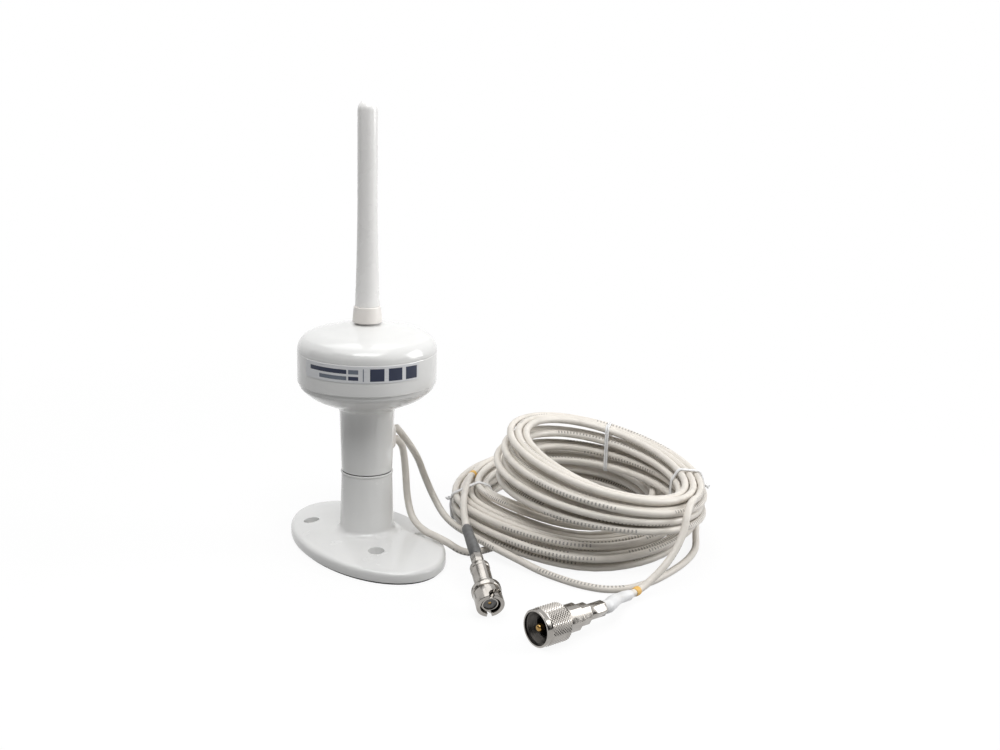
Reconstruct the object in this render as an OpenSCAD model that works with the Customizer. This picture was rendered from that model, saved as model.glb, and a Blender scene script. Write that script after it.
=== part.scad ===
// Combined marine aerial: a satellite positioning head on a screw-down pedestal, a VHF whip on
// top, and two coaxial leads that leave the column and lie wound in two tied coils.
// The origin is on the column's axis at the underside of the base, +Z is up and the label of
// the head faces -Y. All sizes are in millimetres.

/* [Base flange] */
// Length of the oval base
base_l = 120; // [110:1:130]
// Width of the oval base
base_w = 70; // [68:1:80]
// Turn of the oval's long axis away from the X axis
base_turn = -64; // [-75:1:-55]
// Height of the straight edge, with the gasket
base_edge_h = 4.4; // [3.9:0.1:4.9]
// Height at which the rounded edge meets the top
base_top_h = 7.1; // [6.7:0.1:7.7]
// Height of the top at the foot of the column
base_crown_h = 9.9; // [9.3:0.1:10.5]
// Thickness of the gasket under the base
gasket_t = 1; // [0.6:0.1:1.4]
// Diameter of the screw holes
screw_hole_d = 4.8; // [4.2:0.1:5.2]
// Diameter of the counterbores
counterbore_d = 8.4; // [7.6:0.1:9]
// Height of the counterbores' floors
counterbore_floor_h = 4; // [3.6:0.1:4.4]

/* [Column] */
// Height of the joint between the two columns
joint_h = 43; // [40:1:46]
// Diameter of the lower column at its foot
foot_d = 28.2; // [27.8:0.1:29]
// Diameter of both columns at the joint
joint_d = 26.6; // [26:0.1:27.4]
// Diameter of the upper column where it meets the head
neck_d = 28.5; // [28:0.1:29.4]
// Wall of the columns
column_wall = 3; // [2.6:0.1:3.4]
// Length of the upper column, from the joint to the head
upper_column_l = 32; // [30:0.5:33]
// Length of the screwed spigot inside the joint
spigot_l = 9; // [7:0.5:10]

/* [Head] */
// Diameter of the head
head_d = 72; // [70:0.5:76]
// Height of the head's underside, from the column to the belt
underside_h = 16.4; // [15.6:0.2:17]
// Height of the belt
belt_h = 16.6; // [16:0.2:17.4]
// Height of the dome above the belt
dome_h = 13.5; // [12.5:0.5:14.5]
// Wall of the head's covers
cover_wall = 2.4; // [2:0.1:2.8]
// Height of the label band
label_h = 8.4; // [7:0.2:10]
// Gap between the label and the belt's upper edge
label_gap = 0.6; // [0.2:0.1:1.6]
// Thickness of the label
label_t = 0.25; // [0.2:0.05:0.4]

/* [Whip] */
// Length of the whip above the dome's crown
whip_l = 113.5; // [105:0.5:120]
// Diameter of the whip near its tip
whip_tip_d = 10.2; // [9.6:0.1:11]
// Diameter of the whip at its foot
whip_foot_d = 12.6; // [12:0.1:13]
// Length over which the whip tapers
whip_taper_l = 54; // [40:1:60]
// Diameter of the collar at its foot
collar_foot_d = 15.4; // [15:0.1:16]
// Diameter of the collar at its top
collar_top_d = 13.8; // [13.4:0.1:14.4]
// Height of the collar
collar_h = 8.2; // [7.4:0.1:9]
// Diameter of the stud that the whip screws on
stud_d = 6; // [5:0.1:7]

/* [Leads] */
// Diameter of the coaxial leads
cord_d = 3.8; // [3.6:0.1:3.9]
// Height above the joint at which the radio lead leaves the column
vhf_exit_up = 13.5; // [13:0.1:14]
// Height of the positioning lead's exit above the radio lead's
exit_step = 6; // [5.8:0.1:6.4]
// Bearing at which the leads leave the column
exit_turn = 35; // [30:1:40]
// Loops in each layer of the lower coil
lower_loops = 4.5; // [4.5]
// Loops in the whole lower coil
lower_total = 15.5; // [15.5]
// Half width of the lower coil at the middle of its bundle
lower_half_w = 57; // [57:0.5:59]
// Half depth of the lower coil at the middle of its bundle
lower_half_d = 75; // [75:0.5:77]
// Loops in each layer of the upper coil
upper_loops = 3.5; // [3.5]
// Loops in the whole upper coil, to the next ring
upper_total = 13.375; // [13.375]
// Long half axis of the upper coil at the middle of its bundle
upper_half_l = 57.5; // [56.5:0.5:58.5]
// Short half axis of the upper coil at the middle of its bundle
upper_half_w = 47.2; // [46.6:0.2:48]

/* [Bayonet plug] */
// Diameter of the bayonet nut
bnc_nut_d = 14.5; // [14.2:0.1:14.8]
// Length of the bayonet nut
bnc_nut_l = 12; // [11.5:0.5:13]
// Diameter of the plug's body
bnc_body_d = 9.8; // [9.2:0.1:10.4]
// Length of the plug from its face to the ferrule's end
bnc_l = 36; // [35:0.5:37]
// Diameter of the crimp ferrule
bnc_ferrule_d = 6.4; // [6:0.1:7]

/* [Screw plug] */
// Diameter of the coupling ring
uhf_ring_d = 18.5; // [18:0.1:19]
// Length of the coupling ring
uhf_ring_l = 16; // [15:0.5:17]
// Diameter of the plug's body
uhf_body_d = 12.4; // [11.8:0.1:12.8]
// Length of the plug from its face to the ferrule's end
uhf_l = 41; // [40:0.5:42]
// Diameter of the contact pin
uhf_pin_d = 4; // [3.8:0.1:4.1]
// Diameter of the crimp ferrule
uhf_ferrule_d = 7.6; // [7.2:0.1:8]

/* [Hidden] */

// Shared clearances and cuts
over = 1;          // overrun of the cuts
fit = 0.1;         // clearance of pieces that seat in each other
run_fit = 0.3;     // end clearance of pieces that turn
journal_fit = 0.08; // radial clearance of pieces that turn
round_fn = 96;
small_fn = 48;
hull_fn = 64;

// Heights, stacked from the joint of the columns to the whip's tip
neck_h = joint_h + upper_column_l;
belt_low_h = neck_h + underside_h;
belt_top_h = belt_low_h + belt_h;
crown_h = belt_top_h + dome_h;
whip_tip_h = crown_h + whip_l;
label_mid_h = belt_top_h - label_gap - label_h / 2;
vhf_exit_h = joint_h + vhf_exit_up;
gps_exit_h = vhf_exit_h + exit_step;

// Base
edge_inset = 0.9;        // step of the rounded edge at mid height
top_inset = 3;           // step of the rounded edge at its top
edge_mid_h = base_top_h - edge_inset;
crown_d = 46;            // width of the crown round the column's foot
foot_fillet = 4.2;
neck_bore_in = 0.2;      // narrower bore of the upper column where it meets the head's cover
gasket_inset = 1.4;
gasket_gap = 0.8;        // gasket kept back from the screw holes
gasket_gap_d = screw_hole_d + 2 * gasket_gap;
// Places of the three screw holes, along and across the oval
hole_spots = [[-28.9, -19.2], [30.2, -9.4], [12, 26.6]];
// Recess round the third hole, behind a curved ridge, in the row's own X and Y
recess_floor_h = 5.7;
recess_outline = [[9, 15.5], [13.5, 11], [15.8, 3], [18.5, -3], [25, -7.6], [32.6, -12.2], [37, -17.6],
    [50, -34], [74, 0], [40, 62], [4, 62], [4, 30]];
recess_round = 2;

// Column
foot_r = foot_d / 2;
joint_r = joint_d / 2;
neck_r = neck_d / 2;
lip_h = 0.8;             // bead on the lower column's rim
lip_out = 0.25;
joint_gap = 0.5;         // height of the seal seen as a dark line
spigot_r = joint_r - column_wall - fit;
spigot_wall = 2.4;
seal_in_r = spigot_r + fit;
column_bore_r = joint_r - column_wall;
neck_bore_r = neck_r - column_wall - neck_bore_in;
foot_disc_r = crown_d / 2 - foot_fillet;

// Head
head_r = head_d / 2;
// Share of the way over the underside from the column to the step ring, outwards and up
underside_shares = [[0, 0], [0.02, 0.09], [0.07, 0.19], [0.27, 0.32], [0.67, 0.58], [0.87, 0.79],
    [0.97, 0.92], [1, 1]];
inner_shares = [[0.67, 0.8], [0.27, 0.52]];
inner_drop = 1.7;        // slope of the cover's floor towards the column's bore
skirt_r = head_r - 1.2;  // step ring under the belt
skirt_h = 1.9;
belt_round = 1.6;
dome_round = 9;
dome_edge_h = 9;         // height of the dome's rounded edge
crown_rim = 1.4;         // flat of the crown beyond the collar
// Share of the way from the edge to the crown, along and up
dome_shares = [[0.2, 0.31], [0.42, 0.52], [0.7, 0.78], [1, 1]];
seam_h = belt_low_h;     // the covers meet at the belt's lower edge
rebate_h = 4;
rebate_t = 1.1;
seal_t = 1.3;
seal_h = 1.4;
label_from = -57.5;      // bearings of the label's ends, from -Y
label_to = 45;
label_sink = 0.02;
boss_r = 7;
boss_h = 5;
plane_t = 1;
plane_gap = 1.2;         // ground plane above the seam
plane_h = seam_h + plane_gap;
plane_r = 31;
post_r = 2.6;
post_h = 4.4;
post_spot = 21;
board_t = 1.6;
board_r = 27;
board_h = plane_h + plane_t + post_h;
patch_s = 25;
patch_t = 4;
patch_y = -12;
hub_hole_r = 5;
can_size = [16, 11, 2.6];
can_y = 14;
screw_d = 2;
screw_head_d = 3.6;
screw_head_h = 1.3;
wire_hole_r = 6.5;
wire_slot_y = 12;

// Whip
collar_r = collar_foot_d / 2;
collar_top_r = collar_top_d / 2;
collar_rim = 0.5;
seat_h = crown_h;        // flat on the crown that the whip's seal lies on
whip_seal_t = 0.8;
whip_seal_inset = 1.2;
collar_low_h = seat_h + whip_seal_t + run_fit;
collar_top_h = collar_low_h + collar_h;
whip_foot_r = whip_foot_d / 2;
whip_tip_r = whip_tip_d / 2;
sheath_wall = 1.5;
core_r = 2.1;
stud_r = stud_d / 2;
stud_rise = 3;           // stud above the collar
screw_fit = 0.09;        // radial clearance of the whip on its stud
stud_top_h = collar_top_h + stud_rise;
stud_flange_r = 5.2;
stud_flange_t = 1.2;
nut_af = 10;
nut_t = 2.6;
insulator_r = 4.2;
insert_r = 4.4;
insert_cap = 2.4;
insert_foot = 0.2;       // step of the insert above the collar's foot
insert_top_h = stud_top_h + insert_cap;
tip_steps = 8;
coil_wire_d = 1.1;
radiator_turns = 3;
radiator_foot = 4;
radiator_low_h = insert_top_h + radiator_foot;
radiator_r = 2.9;
radiator_rings = 8;

// Exit of the leads through the column's wall
grommet_d = 7;
grommet_flange_d = 9.6;
grommet_flange_t = 1.4;
grommet_lip = 0.8;
grommet_out_r = foot_r + grommet_flange_t;
grommet_in_r = column_bore_r - grommet_lip;
cord_bore_d = cord_d + fit;

// Lead routes. The lists are the places that a lead passes, from the column outwards.
cord_r = cord_d / 2;
run_sides = 8;
coil_sides = 6;
coil_rings = 24;
exit_r = grommet_out_r;
exit_way = [cos(exit_turn), sin(exit_turn), 0];
gps_exit = exit_r * exit_way + [0, 0, gps_exit_h];
vhf_exit = exit_r * exit_way + [0, 0, vhf_exit_h];
gps_places = [[21.5, 20, 52.5], [27.5, 30, 40], [32, 35.5, 27], [36.5, 35, 16.5], [42, 25.5, 8.8],
    [48, 13, 6.4], [54, 0, 6.8], [60.8, -13, 7], [69, -24.5, 6.3], [78.5, -35, 4.6], [88, -45, 2.8],
    [98, -54.5, 2], [108, -63, 1.9], [119, -68, 1.9], [131, -66.5, 1.9], [143, -58.5, 1.9],
    [155, -46, 1.9], [166.5, -30.5, 1.9], [175, -13, 1.9]];
vhf_places = [[19, 13.5, 50.5], [20.5, 12.5, 39], [21.5, 9.5, 25.5], [24, 4, 15.5], [29.5, -3.8, 10.6],
    [36, -10.5, 9.2], [42, -14.5, 7.2], [48.5, -17, 3.8], [55, -16.5, 2.1], [61.5, -13, 2], [68.5, -7.5, 2],
    [77, 1, 2], [83.5, 12, 2.1], [85.5, 26, 2.6], [86, 40, 6.5], [88, 52, 13.5], [92.5, 61.5, 21]];
gps_tail_places = [[59, 60.5, 19], [56.5, 46, 19.5], [53.8, 27, 20.6], [52, 9, 22], [51, -8, 22.8],
    [50.6, -24, 23.3], [50.8, -40, 23.2]];
vhf_tail_places = [[164.5, -43.5, 38.4], [161, -51.5, 35], [158.5, -56.5, 28], [154, -61.5, 20.5],
    [147, -67, 13], [138, -72.5, 6.6], [130, -79.5, 4.6], [123, -87, 5.6], [117.8, -96.9, 8.2]];

// Inner stretches of the leads, down from the board to the grommet. Heights are from the board's underside.
gps_lead_places = [[3, 13, -0.4], [3.2, 12, -8], [3.2, 7, -18], [1.5, 2.5, -27], [1, -0.5, -32.5]];
vhf_lead_places = [[-3, 13, -0.4], [-3.2, 12, -8], [-3.8, 6, -18], [-5, -1, -28], [-4, -4.5, -36.5]];
function from_board(places) = [for (p = places) p + [0, 0, board_h]];

// Lower coil, flat on the ground, raised where the radio lead passes under it
loop_gap = 0.55;
loop_step = cord_d + loop_gap;
layer_rise = 5.4;
lower_centre = [114, 43, cord_r];
lower_start = 340;
lower_tie_turn = 165;
lower_spread_share = 0.45;
lower_lift_share = 0.12;
bridge_turn = 220;
bridge_half_turn = 62;
bridge_h = 4.9;
// Upper coil, tilted, lying on the lower one
upper_centre = [124.2, 6.6, 28.6];
upper_turn = -69;
upper_start = 174;
upper_tie_turn = 34;
upper_fan_share = 0.87;
upper_shift_shares = [0.33, 0.15];
upper_slope_share = -0.1;

// Plugs: where the face lies, and the bearing and pitch of the way back along the plug
bnc_face = [58.3, -99, bnc_nut_d / 2 * cos(20) + 0.05];
bnc_bearing = 98;
bnc_pitch = 20;
uhf_face = [76.2, -131, uhf_ring_d / 2];
uhf_bearing = 34;
uhf_pitch = 0;
sleeve_d = 6;
vhf_sleeve_d = 6.6;
gps_sleeve_l = 30;
vhf_sleeve_l = 34;
marker_l = 5;
marker_t = 0.45;
marker_d = cord_d + 2 * marker_t;
tie_d = 1.2;
tie_gap = 0.35;
lower_wire_turn = 183;
back_wire_turn = 140;
side_wire_turn = 70;

// Bayonet plug, from its face backwards
bnc_bore_r = 4.95;
bnc_lip_t = 2.4;
bnc_slot_w = 2.3;
bnc_slot_in = 3.2;
bnc_slot_turn = 70;
bnc_collet_r = 4;
bnc_collet_bore_r = 3.4;
bnc_collet_from = 1.2;
bnc_collar_r = 4.7;
bnc_collar_t = 1.5;
bnc_collar_top = bnc_nut_l - bnc_lip_t - run_fit;
bnc_seat_l = 8.4;
bnc_core_r = 2.3;
bnc_pin_r = 0.68;
bnc_pin_from = 2.4;
bnc_ferrule_l = 8;
bnc_core_from = 5.4;     // insulator, from its front to its back
bnc_core_to = bnc_l - bnc_ferrule_l - fit;
bnc_pin_back = 2.4;      // insulator behind the pin
bnc_pin_to = bnc_core_to - bnc_pin_back;
gasket_ring_t = 1;

// Screw plug, from its face backwards
uhf_thread_r = 7.9;
uhf_lip_t = 2.6;
uhf_front_r = 5.75;
uhf_front_bore_r = 4.9;
uhf_front_from = 5.4;
uhf_shoulder_r = 7.3;
uhf_shoulder_t = 1.6;
uhf_core_from = 9;
uhf_core_t = 1.6;        // plate of the insulator
uhf_core_r = uhf_pin_d / 2 + uhf_core_t;
uhf_pin_from = 0.8;
uhf_step_r = 4.9;
uhf_step_l = 6;
uhf_ferrule_l = 10;

// Helpers

function unit(v) = v / norm(v);
function mix(a, b, t) = a * (1 - t) + b * t;
function clamp01(t) = max(0, min(1, t));
function smooth01(t) = let (c = clamp01(t)) c * c * (3 - 2 * c);
function flat_turn(v, t) = [v[0] * cos(t) - v[1] * sin(t), v[0] * sin(t) + v[1] * cos(t)];

// A smooth curve through points, with k steps from each to the next
function spline_point(a, b, c, d, t) =
    0.5 * (2 * b + (c - a) * t + (2 * a - 5 * b + 4 * c - d) * t * t
    + (3 * b - a - 3 * c + d) * t * t * t);
function spline(p, k) = let (n = len(p)) concat(
    [for (i = [0 : n - 2]) for (j = [0 : k - 1])
        spline_point(i > 0 ? p[i - 1] : 2 * p[0] - p[1], p[i], p[i + 1],
            i < n - 2 ? p[i + 2] : 2 * p[n - 1] - p[n - 2], j / k)],
    [p[n - 1]]);

// Directions at the points of a line, and cross directions carried along it
function ways(p) = let (n = len(p)) [for (i = [0 : n - 1])
    i == 0 ? unit(p[1] - p[0]) : i == n - 1 ? unit(p[n - 1] - p[n - 2])
    : unit(unit(p[i + 1] - p[i]) + unit(p[i] - p[i - 1]))];
function carried(w, side) = [for (i = 0, s = unit(side - (side * w[0]) * w[0]); i < len(w);
    i = i + 1, s = i < len(w) ? unit(s - (s * w[i]) * w[i]) : s) s];
function tube_points(p, r, sides) = let (w = ways(p), s = carried(w, cross(w[0], [0.1, 0.2, 1])))
    [for (i = [0 : len(p) - 1]) for (j = [0 : sides - 1])
        p[i] + r * (cos(360 * j / sides) * s[i] + sin(360 * j / sides) * cross(w[i], s[i]))];
function wall_faces(n, sides, shift) = [for (i = [0 : n - 2]) for (j = [0 : sides - 1]) for (half = [0, 1])
    let (k = (j + 1) % sides, a = shift + i * sides, b = a + sides)
    half == 0 ? [a + j, b + j, b + k] : [a + j, b + k, a + k]];

module tube(p, d, sides) {
    n = len(p);
    last = (n - 1) * sides;
    polyhedron(tube_points(p, d / 2, sides), concat(wall_faces(n, sides, 0),
        [for (j = [1 : sides - 2]) [0, j, j + 1]],
        [for (j = [1 : sides - 2]) [last, last + j + 1, last + j]]));
}

// A sleeve with a bore along the last rings of a line, turned as the line's own tube is
module sleeve(line, first, outer_d, inner_d, sides) {
    n = len(line) - first;
    inner = n * sides;
    last = (n - 1) * sides;
    function kept(d) = let (all = tube_points(line, d / 2, sides))
        [for (i = [first * sides : len(all) - 1]) all[i]];
    polyhedron(concat(kept(outer_d), kept(inner_d)),
        concat(wall_faces(n, sides, 0),
            [for (f = wall_faces(n, sides, inner)) [f[0], f[2], f[1]]],
            [for (j = [0 : sides - 1]) for (half = [0, 1]) let (k = (j + 1) % sides)
                half == 0 ? [j, k, inner + k] : [j, inner + k, inner + j]],
            [for (j = [0 : sides - 1]) for (half = [0, 1]) let (k = (j + 1) % sides)
                half == 0 ? [last + j, inner + last + k, last + k]
                : [last + j, inner + last + j, inner + last + k]]));
}

// A closed ring of wire through points of one plane
module wire_loop(p, d, sides) {
    n = len(p);
    up = unit(cross(p[1] - p[0], p[2] - p[1]));
    points = [for (i = [0 : n - 1]) let (w = unit(p[(i + 1) % n] - p[(i + n - 1) % n]), s = cross(w, up))
        for (j = [0 : sides - 1]) p[i] + d / 2 * (cos(360 * j / sides) * s + sin(360 * j / sides) * up)];
    polyhedron(points, [for (i = [0 : n - 1]) for (j = [0 : sides - 1]) for (half = [0, 1])
        let (k = (j + 1) % sides, a = i * sides, b = ((i + 1) % n) * sides)
        half == 0 ? [a + j, b + k, b + j] : [a + j, a + k, b + k]]);
}

// Pieces built upwards from a plug's face are turned to lie along the plug
module on_plug(face, bearing, pitch) {
    translate(face) rotate([0, 90 - pitch, bearing]) children();
}
function back_way(bearing, pitch) =
    [cos(bearing) * cos(pitch), sin(bearing) * cos(pitch), sin(pitch)];

// Piled loops: across the bundle a lead goes steadily out and back, and it climbs a layer in
// the half turn where it reverses
function across(u, n) = let (k = floor(u / n), f = u - k * n) n / 2 - (k % 2 == 0 ? f : n - f);
function layer(u, n) = let (s = [for (k = [1 : 3]) smooth01((u - k * n + 0.25) / 0.5)]) s[0] + s[1] + s[2];
function away_share(turn, from) = (1 - cos(turn - from)) / 2;

function bridge(turn) = let (t = abs((turn % 360) - bridge_turn) / bridge_half_turn)
    t < 1 ? bridge_h * pow(cos(90 * t), 2) : 0;
function lower_point(turn, a, b) = let (spread = 1 + lower_spread_share * away_share(turn, lower_tie_turn),
        lift = 1 + lower_lift_share * away_share(turn, lower_tie_turn), off = loop_step * a * spread)
    lower_centre + [(lower_half_w + off) * cos(turn), (lower_half_d + off) * sin(turn),
        layer_rise * b * lift + bridge(turn)];
function upper_point(turn, a, b) = let (fan = away_share(turn, upper_tie_turn), off = loop_step * a,
        flat = flat_turn([(upper_half_l + off) * cos(turn), (upper_half_w + off) * sin(turn)], upper_turn)
            + loop_step * b * fan * upper_shift_shares)
    upper_centre + [flat[0], flat[1],
        loop_step * b * (1 + upper_fan_share * fan) + upper_slope_share * flat[0]];

lower_steps = round(lower_total * coil_rings);
upper_steps = round(upper_total * coil_rings);
lower_line = [for (i = [0 : lower_steps]) let (u = i / coil_rings)
    lower_point(lower_start + 360 * u, across(u, lower_loops), layer(u, lower_loops))];
upper_line = [for (i = [0 : upper_steps]) let (u = i / coil_rings)
    upper_point(upper_start - 360 * u, across(u, upper_loops), layer(u, upper_loops))];

// Each end of a lead's run is straight for one diameter and square to what it meets
function ahead(p) = p[0] + cord_d * unit(p[0] - p[1]);
function beyond(p) = let (n = len(p)) p[n - 1] + cord_d * unit(p[n - 1] - p[n - 2]);
bnc_way = back_way(bnc_bearing, bnc_pitch);
uhf_way = back_way(uhf_bearing, uhf_pitch);
bnc_end = bnc_face + bnc_l * bnc_way;
uhf_end = uhf_face + uhf_l * uhf_way;
gps_run_line = concat([gps_exit],
    spline(concat([gps_exit + cord_d * exit_way], gps_places, [ahead(lower_line)]), 2), [lower_line[0]]);
vhf_run_line = concat([vhf_exit],
    spline(concat([vhf_exit + cord_d * exit_way], vhf_places, [ahead(upper_line)]), 2), [upper_line[0]]);
gps_tail_line = concat([lower_line[lower_steps]],
    spline(concat([beyond(lower_line)], gps_tail_places, [bnc_end + cord_d * bnc_way]), 2), [bnc_end]);
vhf_tail_line = concat([upper_line[upper_steps]],
    spline(concat([beyond(upper_line)], vhf_tail_places, [uhf_end + cord_d * uhf_way]), 2), [uhf_end]);

// Least gap of a coil to itself, measured between its points, leaving out each point's own loop
function self_gap(p) = min([for (i = [0 : len(p) - 1]) for (k = [1 : 15])
    for (j = [i + k * coil_rings - 2 : i + k * coil_rings + 2]) if (j < len(p) && j > i + coil_rings / 2)
        norm(p[i] - p[j])]) - cord_d;
function line_length(p) = len(p) < 2 ? 0
    : let (steps = [for (i = [1 : len(p) - 1]) norm(p[i] - p[i - 1])]) steps * [for (s = steps) 1];
echo(lower_coil_gap = self_gap(lower_line), upper_coil_gap = self_gap(upper_line));
echo(gps_length = line_length(gps_run_line) + line_length(lower_line) + line_length(gps_tail_line),
    vhf_length = line_length(vhf_run_line) + line_length(upper_line) + line_length(vhf_tail_line));

// Base

module oval(inset, h, from) {
    translate([0, 0, from]) linear_extrude(h) polygon([for (i = [0 : hull_fn - 1])
        let (turn = 360 * i / hull_fn)
            [(base_l / 2 - inset) * cos(turn), (base_w / 2 - inset) * sin(turn)]]);
}

module at_holes() {
    for (spot = hole_spots) rotate(base_turn) translate([spot[0], spot[1], 0]) children();
}

module recess() {
    translate([0, 0, recess_floor_h]) linear_extrude(base_crown_h)
        offset(r = recess_round, $fn = 24) offset(delta = -recess_round) polygon(recess_outline);
}

module base_gasket() {
    color("dimgray") difference() {
        rotate(base_turn) oval(gasket_inset, gasket_t, 0);
        at_holes() translate([0, 0, -over])
            cylinder(d = gasket_gap_d, h = gasket_t + 2 * over, $fn = small_fn);
        translate([0, 0, -over]) cylinder(r = column_bore_r, h = gasket_t + 2 * over, $fn = round_fn);
    }
}

// Disc of the base that the lower column stands on
module foot_disc() {
    translate([0, 0, gasket_t]) cylinder(r = foot_disc_r, h = base_top_h - gasket_t, $fn = round_fn);
    translate([0, 0, base_top_h])
        cylinder(r1 = foot_disc_r, r2 = foot_r + foot_fillet, h = base_crown_h - base_top_h,
            $fn = round_fn);
}

module base_flange() {
    color("white") difference() {
        union() {
            difference() {
                rotate(base_turn) hull() {
                    oval(0, base_edge_h - gasket_t, gasket_t);
                    oval(edge_inset, edge_mid_h - gasket_t, gasket_t);
                    oval(top_inset, base_top_h - gasket_t, gasket_t);
                    translate([0, 0, gasket_t]) cylinder(d = crown_d, h = base_crown_h - gasket_t,
                        $fn = hull_fn);
                }
                recess();
            }
            foot_disc();
        }
        translate([0, 0, -over]) cylinder(r = column_bore_r, h = joint_h, $fn = round_fn);
        at_holes() {
            translate([0, 0, -over]) cylinder(d = screw_hole_d, h = base_crown_h + over, $fn = small_fn);
            translate([0, 0, counterbore_floor_h])
                cylinder(d = counterbore_d, h = base_crown_h, $fn = small_fn);
        }
    }
}

// Lower column with its foot's fillet, and the spigot that the upper column screws on
module lower_column_profile() {
    polygon(concat([[column_bore_r, base_crown_h]],
        [for (t = [0 : 15 : 90]) [foot_r + foot_fillet * (1 - sin(t)),
            base_crown_h + foot_fillet * (1 - cos(t))]],
        [[joint_r, joint_h - lip_h - lip_out], [joint_r + lip_out, joint_h - lip_h],
            [joint_r + lip_out, joint_h - lip_out],
            [joint_r, joint_h], [spigot_r, joint_h], [spigot_r, joint_h + spigot_l],
            [spigot_r - spigot_wall, joint_h + spigot_l], [spigot_r - spigot_wall, joint_h - column_wall],
            [column_bore_r, joint_h - column_wall - spigot_wall]]));
}

module lower_column() {
    color("white") rotate_extrude($fn = round_fn) lower_column_profile();
}

module joint_seal() {
    color("dimgray") translate([0, 0, joint_h]) difference() {
        cylinder(r = joint_r - lip_out, h = joint_gap, $fn = round_fn);
        translate([0, 0, -over]) cylinder(r = seal_in_r, h = joint_gap + 2 * over, $fn = round_fn);
    }
}

// Upper column, which widens inside above the spigot
module upper_column_profile() {
    low = joint_h + joint_gap;
    polygon([[column_bore_r, low], [joint_r, low], [neck_r, neck_h], [neck_bore_r, neck_h],
        [column_bore_r + fit, joint_h + spigot_l + over], [column_bore_r, joint_h + spigot_l + over]]);
}

// Head's lower cover: the shoulder, the sloping underside and its step ring
function underside_point(w) = [mix(neck_r, skirt_r, w[0]), mix(neck_h, belt_low_h - skirt_h, w[1])];

module lower_cover_profile() {
    polygon(concat(
        [for (w = underside_shares) underside_point(w)],
        [[skirt_r, seam_h], [head_r - cover_wall - fit, seam_h],
            [head_r - cover_wall - fit, seam_h + rebate_h],
            [head_r - cover_wall - fit - rebate_t, seam_h + rebate_h],
            [head_r - cover_wall - fit - rebate_t, seam_h - cover_wall + skirt_h],
            underside_point(inner_shares[0]), underside_point(inner_shares[1]),
            [neck_r - column_wall, mix(neck_h, belt_low_h - skirt_h, inner_shares[1][1]) - inner_drop],
            [neck_bore_r, neck_h]]));
}

module exit_shape(d, from_r, to_r) {
    rotate([0, 0, exit_turn]) translate([from_r, 0, 0]) {
        for (h = [vhf_exit_h, gps_exit_h]) translate([0, 0, h]) rotate([0, 90, 0])
            cylinder(d = d, h = to_r - from_r, $fn = small_fn);
        translate([0, -d / 2, vhf_exit_h]) cube([to_r - from_r, d, gps_exit_h - vhf_exit_h]);
    }
}

module upper_column() {
    color("gainsboro") difference() {
        rotate_extrude($fn = round_fn) upper_column_profile();
        exit_shape(grommet_d + fit, 0, head_r);
    }
}

module lower_cover() {
    color("gainsboro") rotate_extrude($fn = round_fn) lower_cover_profile();
}

// Outside of the upper column, for what is cut to lie against it
module upper_column_space(gap) {
    low = joint_h + joint_gap;
    translate([0, 0, low]) cylinder(r1 = joint_r + gap, r2 = neck_r + gap, h = neck_h - low,
        $fn = round_fn);
}

module cable_grommet() {
    color("gray") difference() {
        union() {
            exit_shape(grommet_d, grommet_in_r, grommet_out_r);
            difference() {
                exit_shape(grommet_flange_d, column_bore_r, grommet_out_r);
                upper_column_space(0);
            }
        }
        rotate([0, 0, exit_turn]) for (h = [vhf_exit_h, gps_exit_h]) translate([0, 0, h]) rotate([0, 90, 0])
            cylinder(d = cord_bore_d, h = head_r, $fn = small_fn);
    }
}

// Head's upper cover: the belt and the dome, with the boss that carries the whip
function dome_points(inset) = let (r = head_r - inset, base = belt_top_h - inset / 2,
        edge = [r - dome_round / 2, base + dome_edge_h * sin(60)],
        crown = [collar_r + crown_rim, crown_h - inset])
    concat([for (t = [0 : 12 : 60]) [r - dome_round * (1 - cos(t)), base + dome_edge_h * sin(t)]],
        [for (w = dome_shares) [mix(edge[0], crown[0], w[0]), mix(edge[1], crown[1], w[1])]]);

module upper_cover_profile() {
    inner = cover_wall;
    polygon(concat(
        [[head_r - belt_round * 0.4, seam_h], [head_r, seam_h + belt_round * 0.5]],
        dome_points(0),
        [[0, crown_h], [0, crown_h - inner - boss_h], [boss_r, crown_h - inner - boss_h],
            [boss_r, crown_h - inner]],
        [for (i = [len(dome_points(inner)) - 2 : -1 : 0]) dome_points(inner)[i]],
        [[head_r - inner, seam_h]]));
}

module upper_cover() {
    color("white") difference() {
        rotate_extrude($fn = round_fn) upper_cover_profile();
        translate([0, 0, crown_h - cover_wall - boss_h - over])
            cylinder(r = insulator_r + fit, h = cover_wall + boss_h + 2 * over, $fn = small_fn);
    }
}

module cover_seal() {
    color("dimgray") translate([0, 0, seam_h + rebate_h + fit]) difference() {
        cylinder(r = head_r - cover_wall - fit, h = seal_h, $fn = round_fn);
        translate([0, 0, -over]) cylinder(r = head_r - cover_wall - fit - seal_t,
            h = seal_h + 2 * over, $fn = round_fn);
    }
}

module label() {
    color("silver") rotate(label_from - 90) rotate_extrude(angle = label_to - label_from, $fn = round_fn)
        translate([head_r + label_sink, label_mid_h - label_h / 2]) square([label_t, label_h]);
}

// Inside the head

module ground_plane() {
    color("silver") difference() {
        union() {
            translate([0, 0, plane_h]) cylinder(r = plane_r, h = plane_t, $fn = round_fn);
            for (t = [45 : 90 : 315]) rotate(t) translate([post_spot, 0, plane_h])
                cylinder(r = post_r, h = plane_t + post_h, $fn = small_fn);
        }
        translate([0, wire_slot_y, plane_h - over])
            cylinder(r = wire_hole_r, h = plane_t + 2 * over, $fn = small_fn);
    }
}

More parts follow.
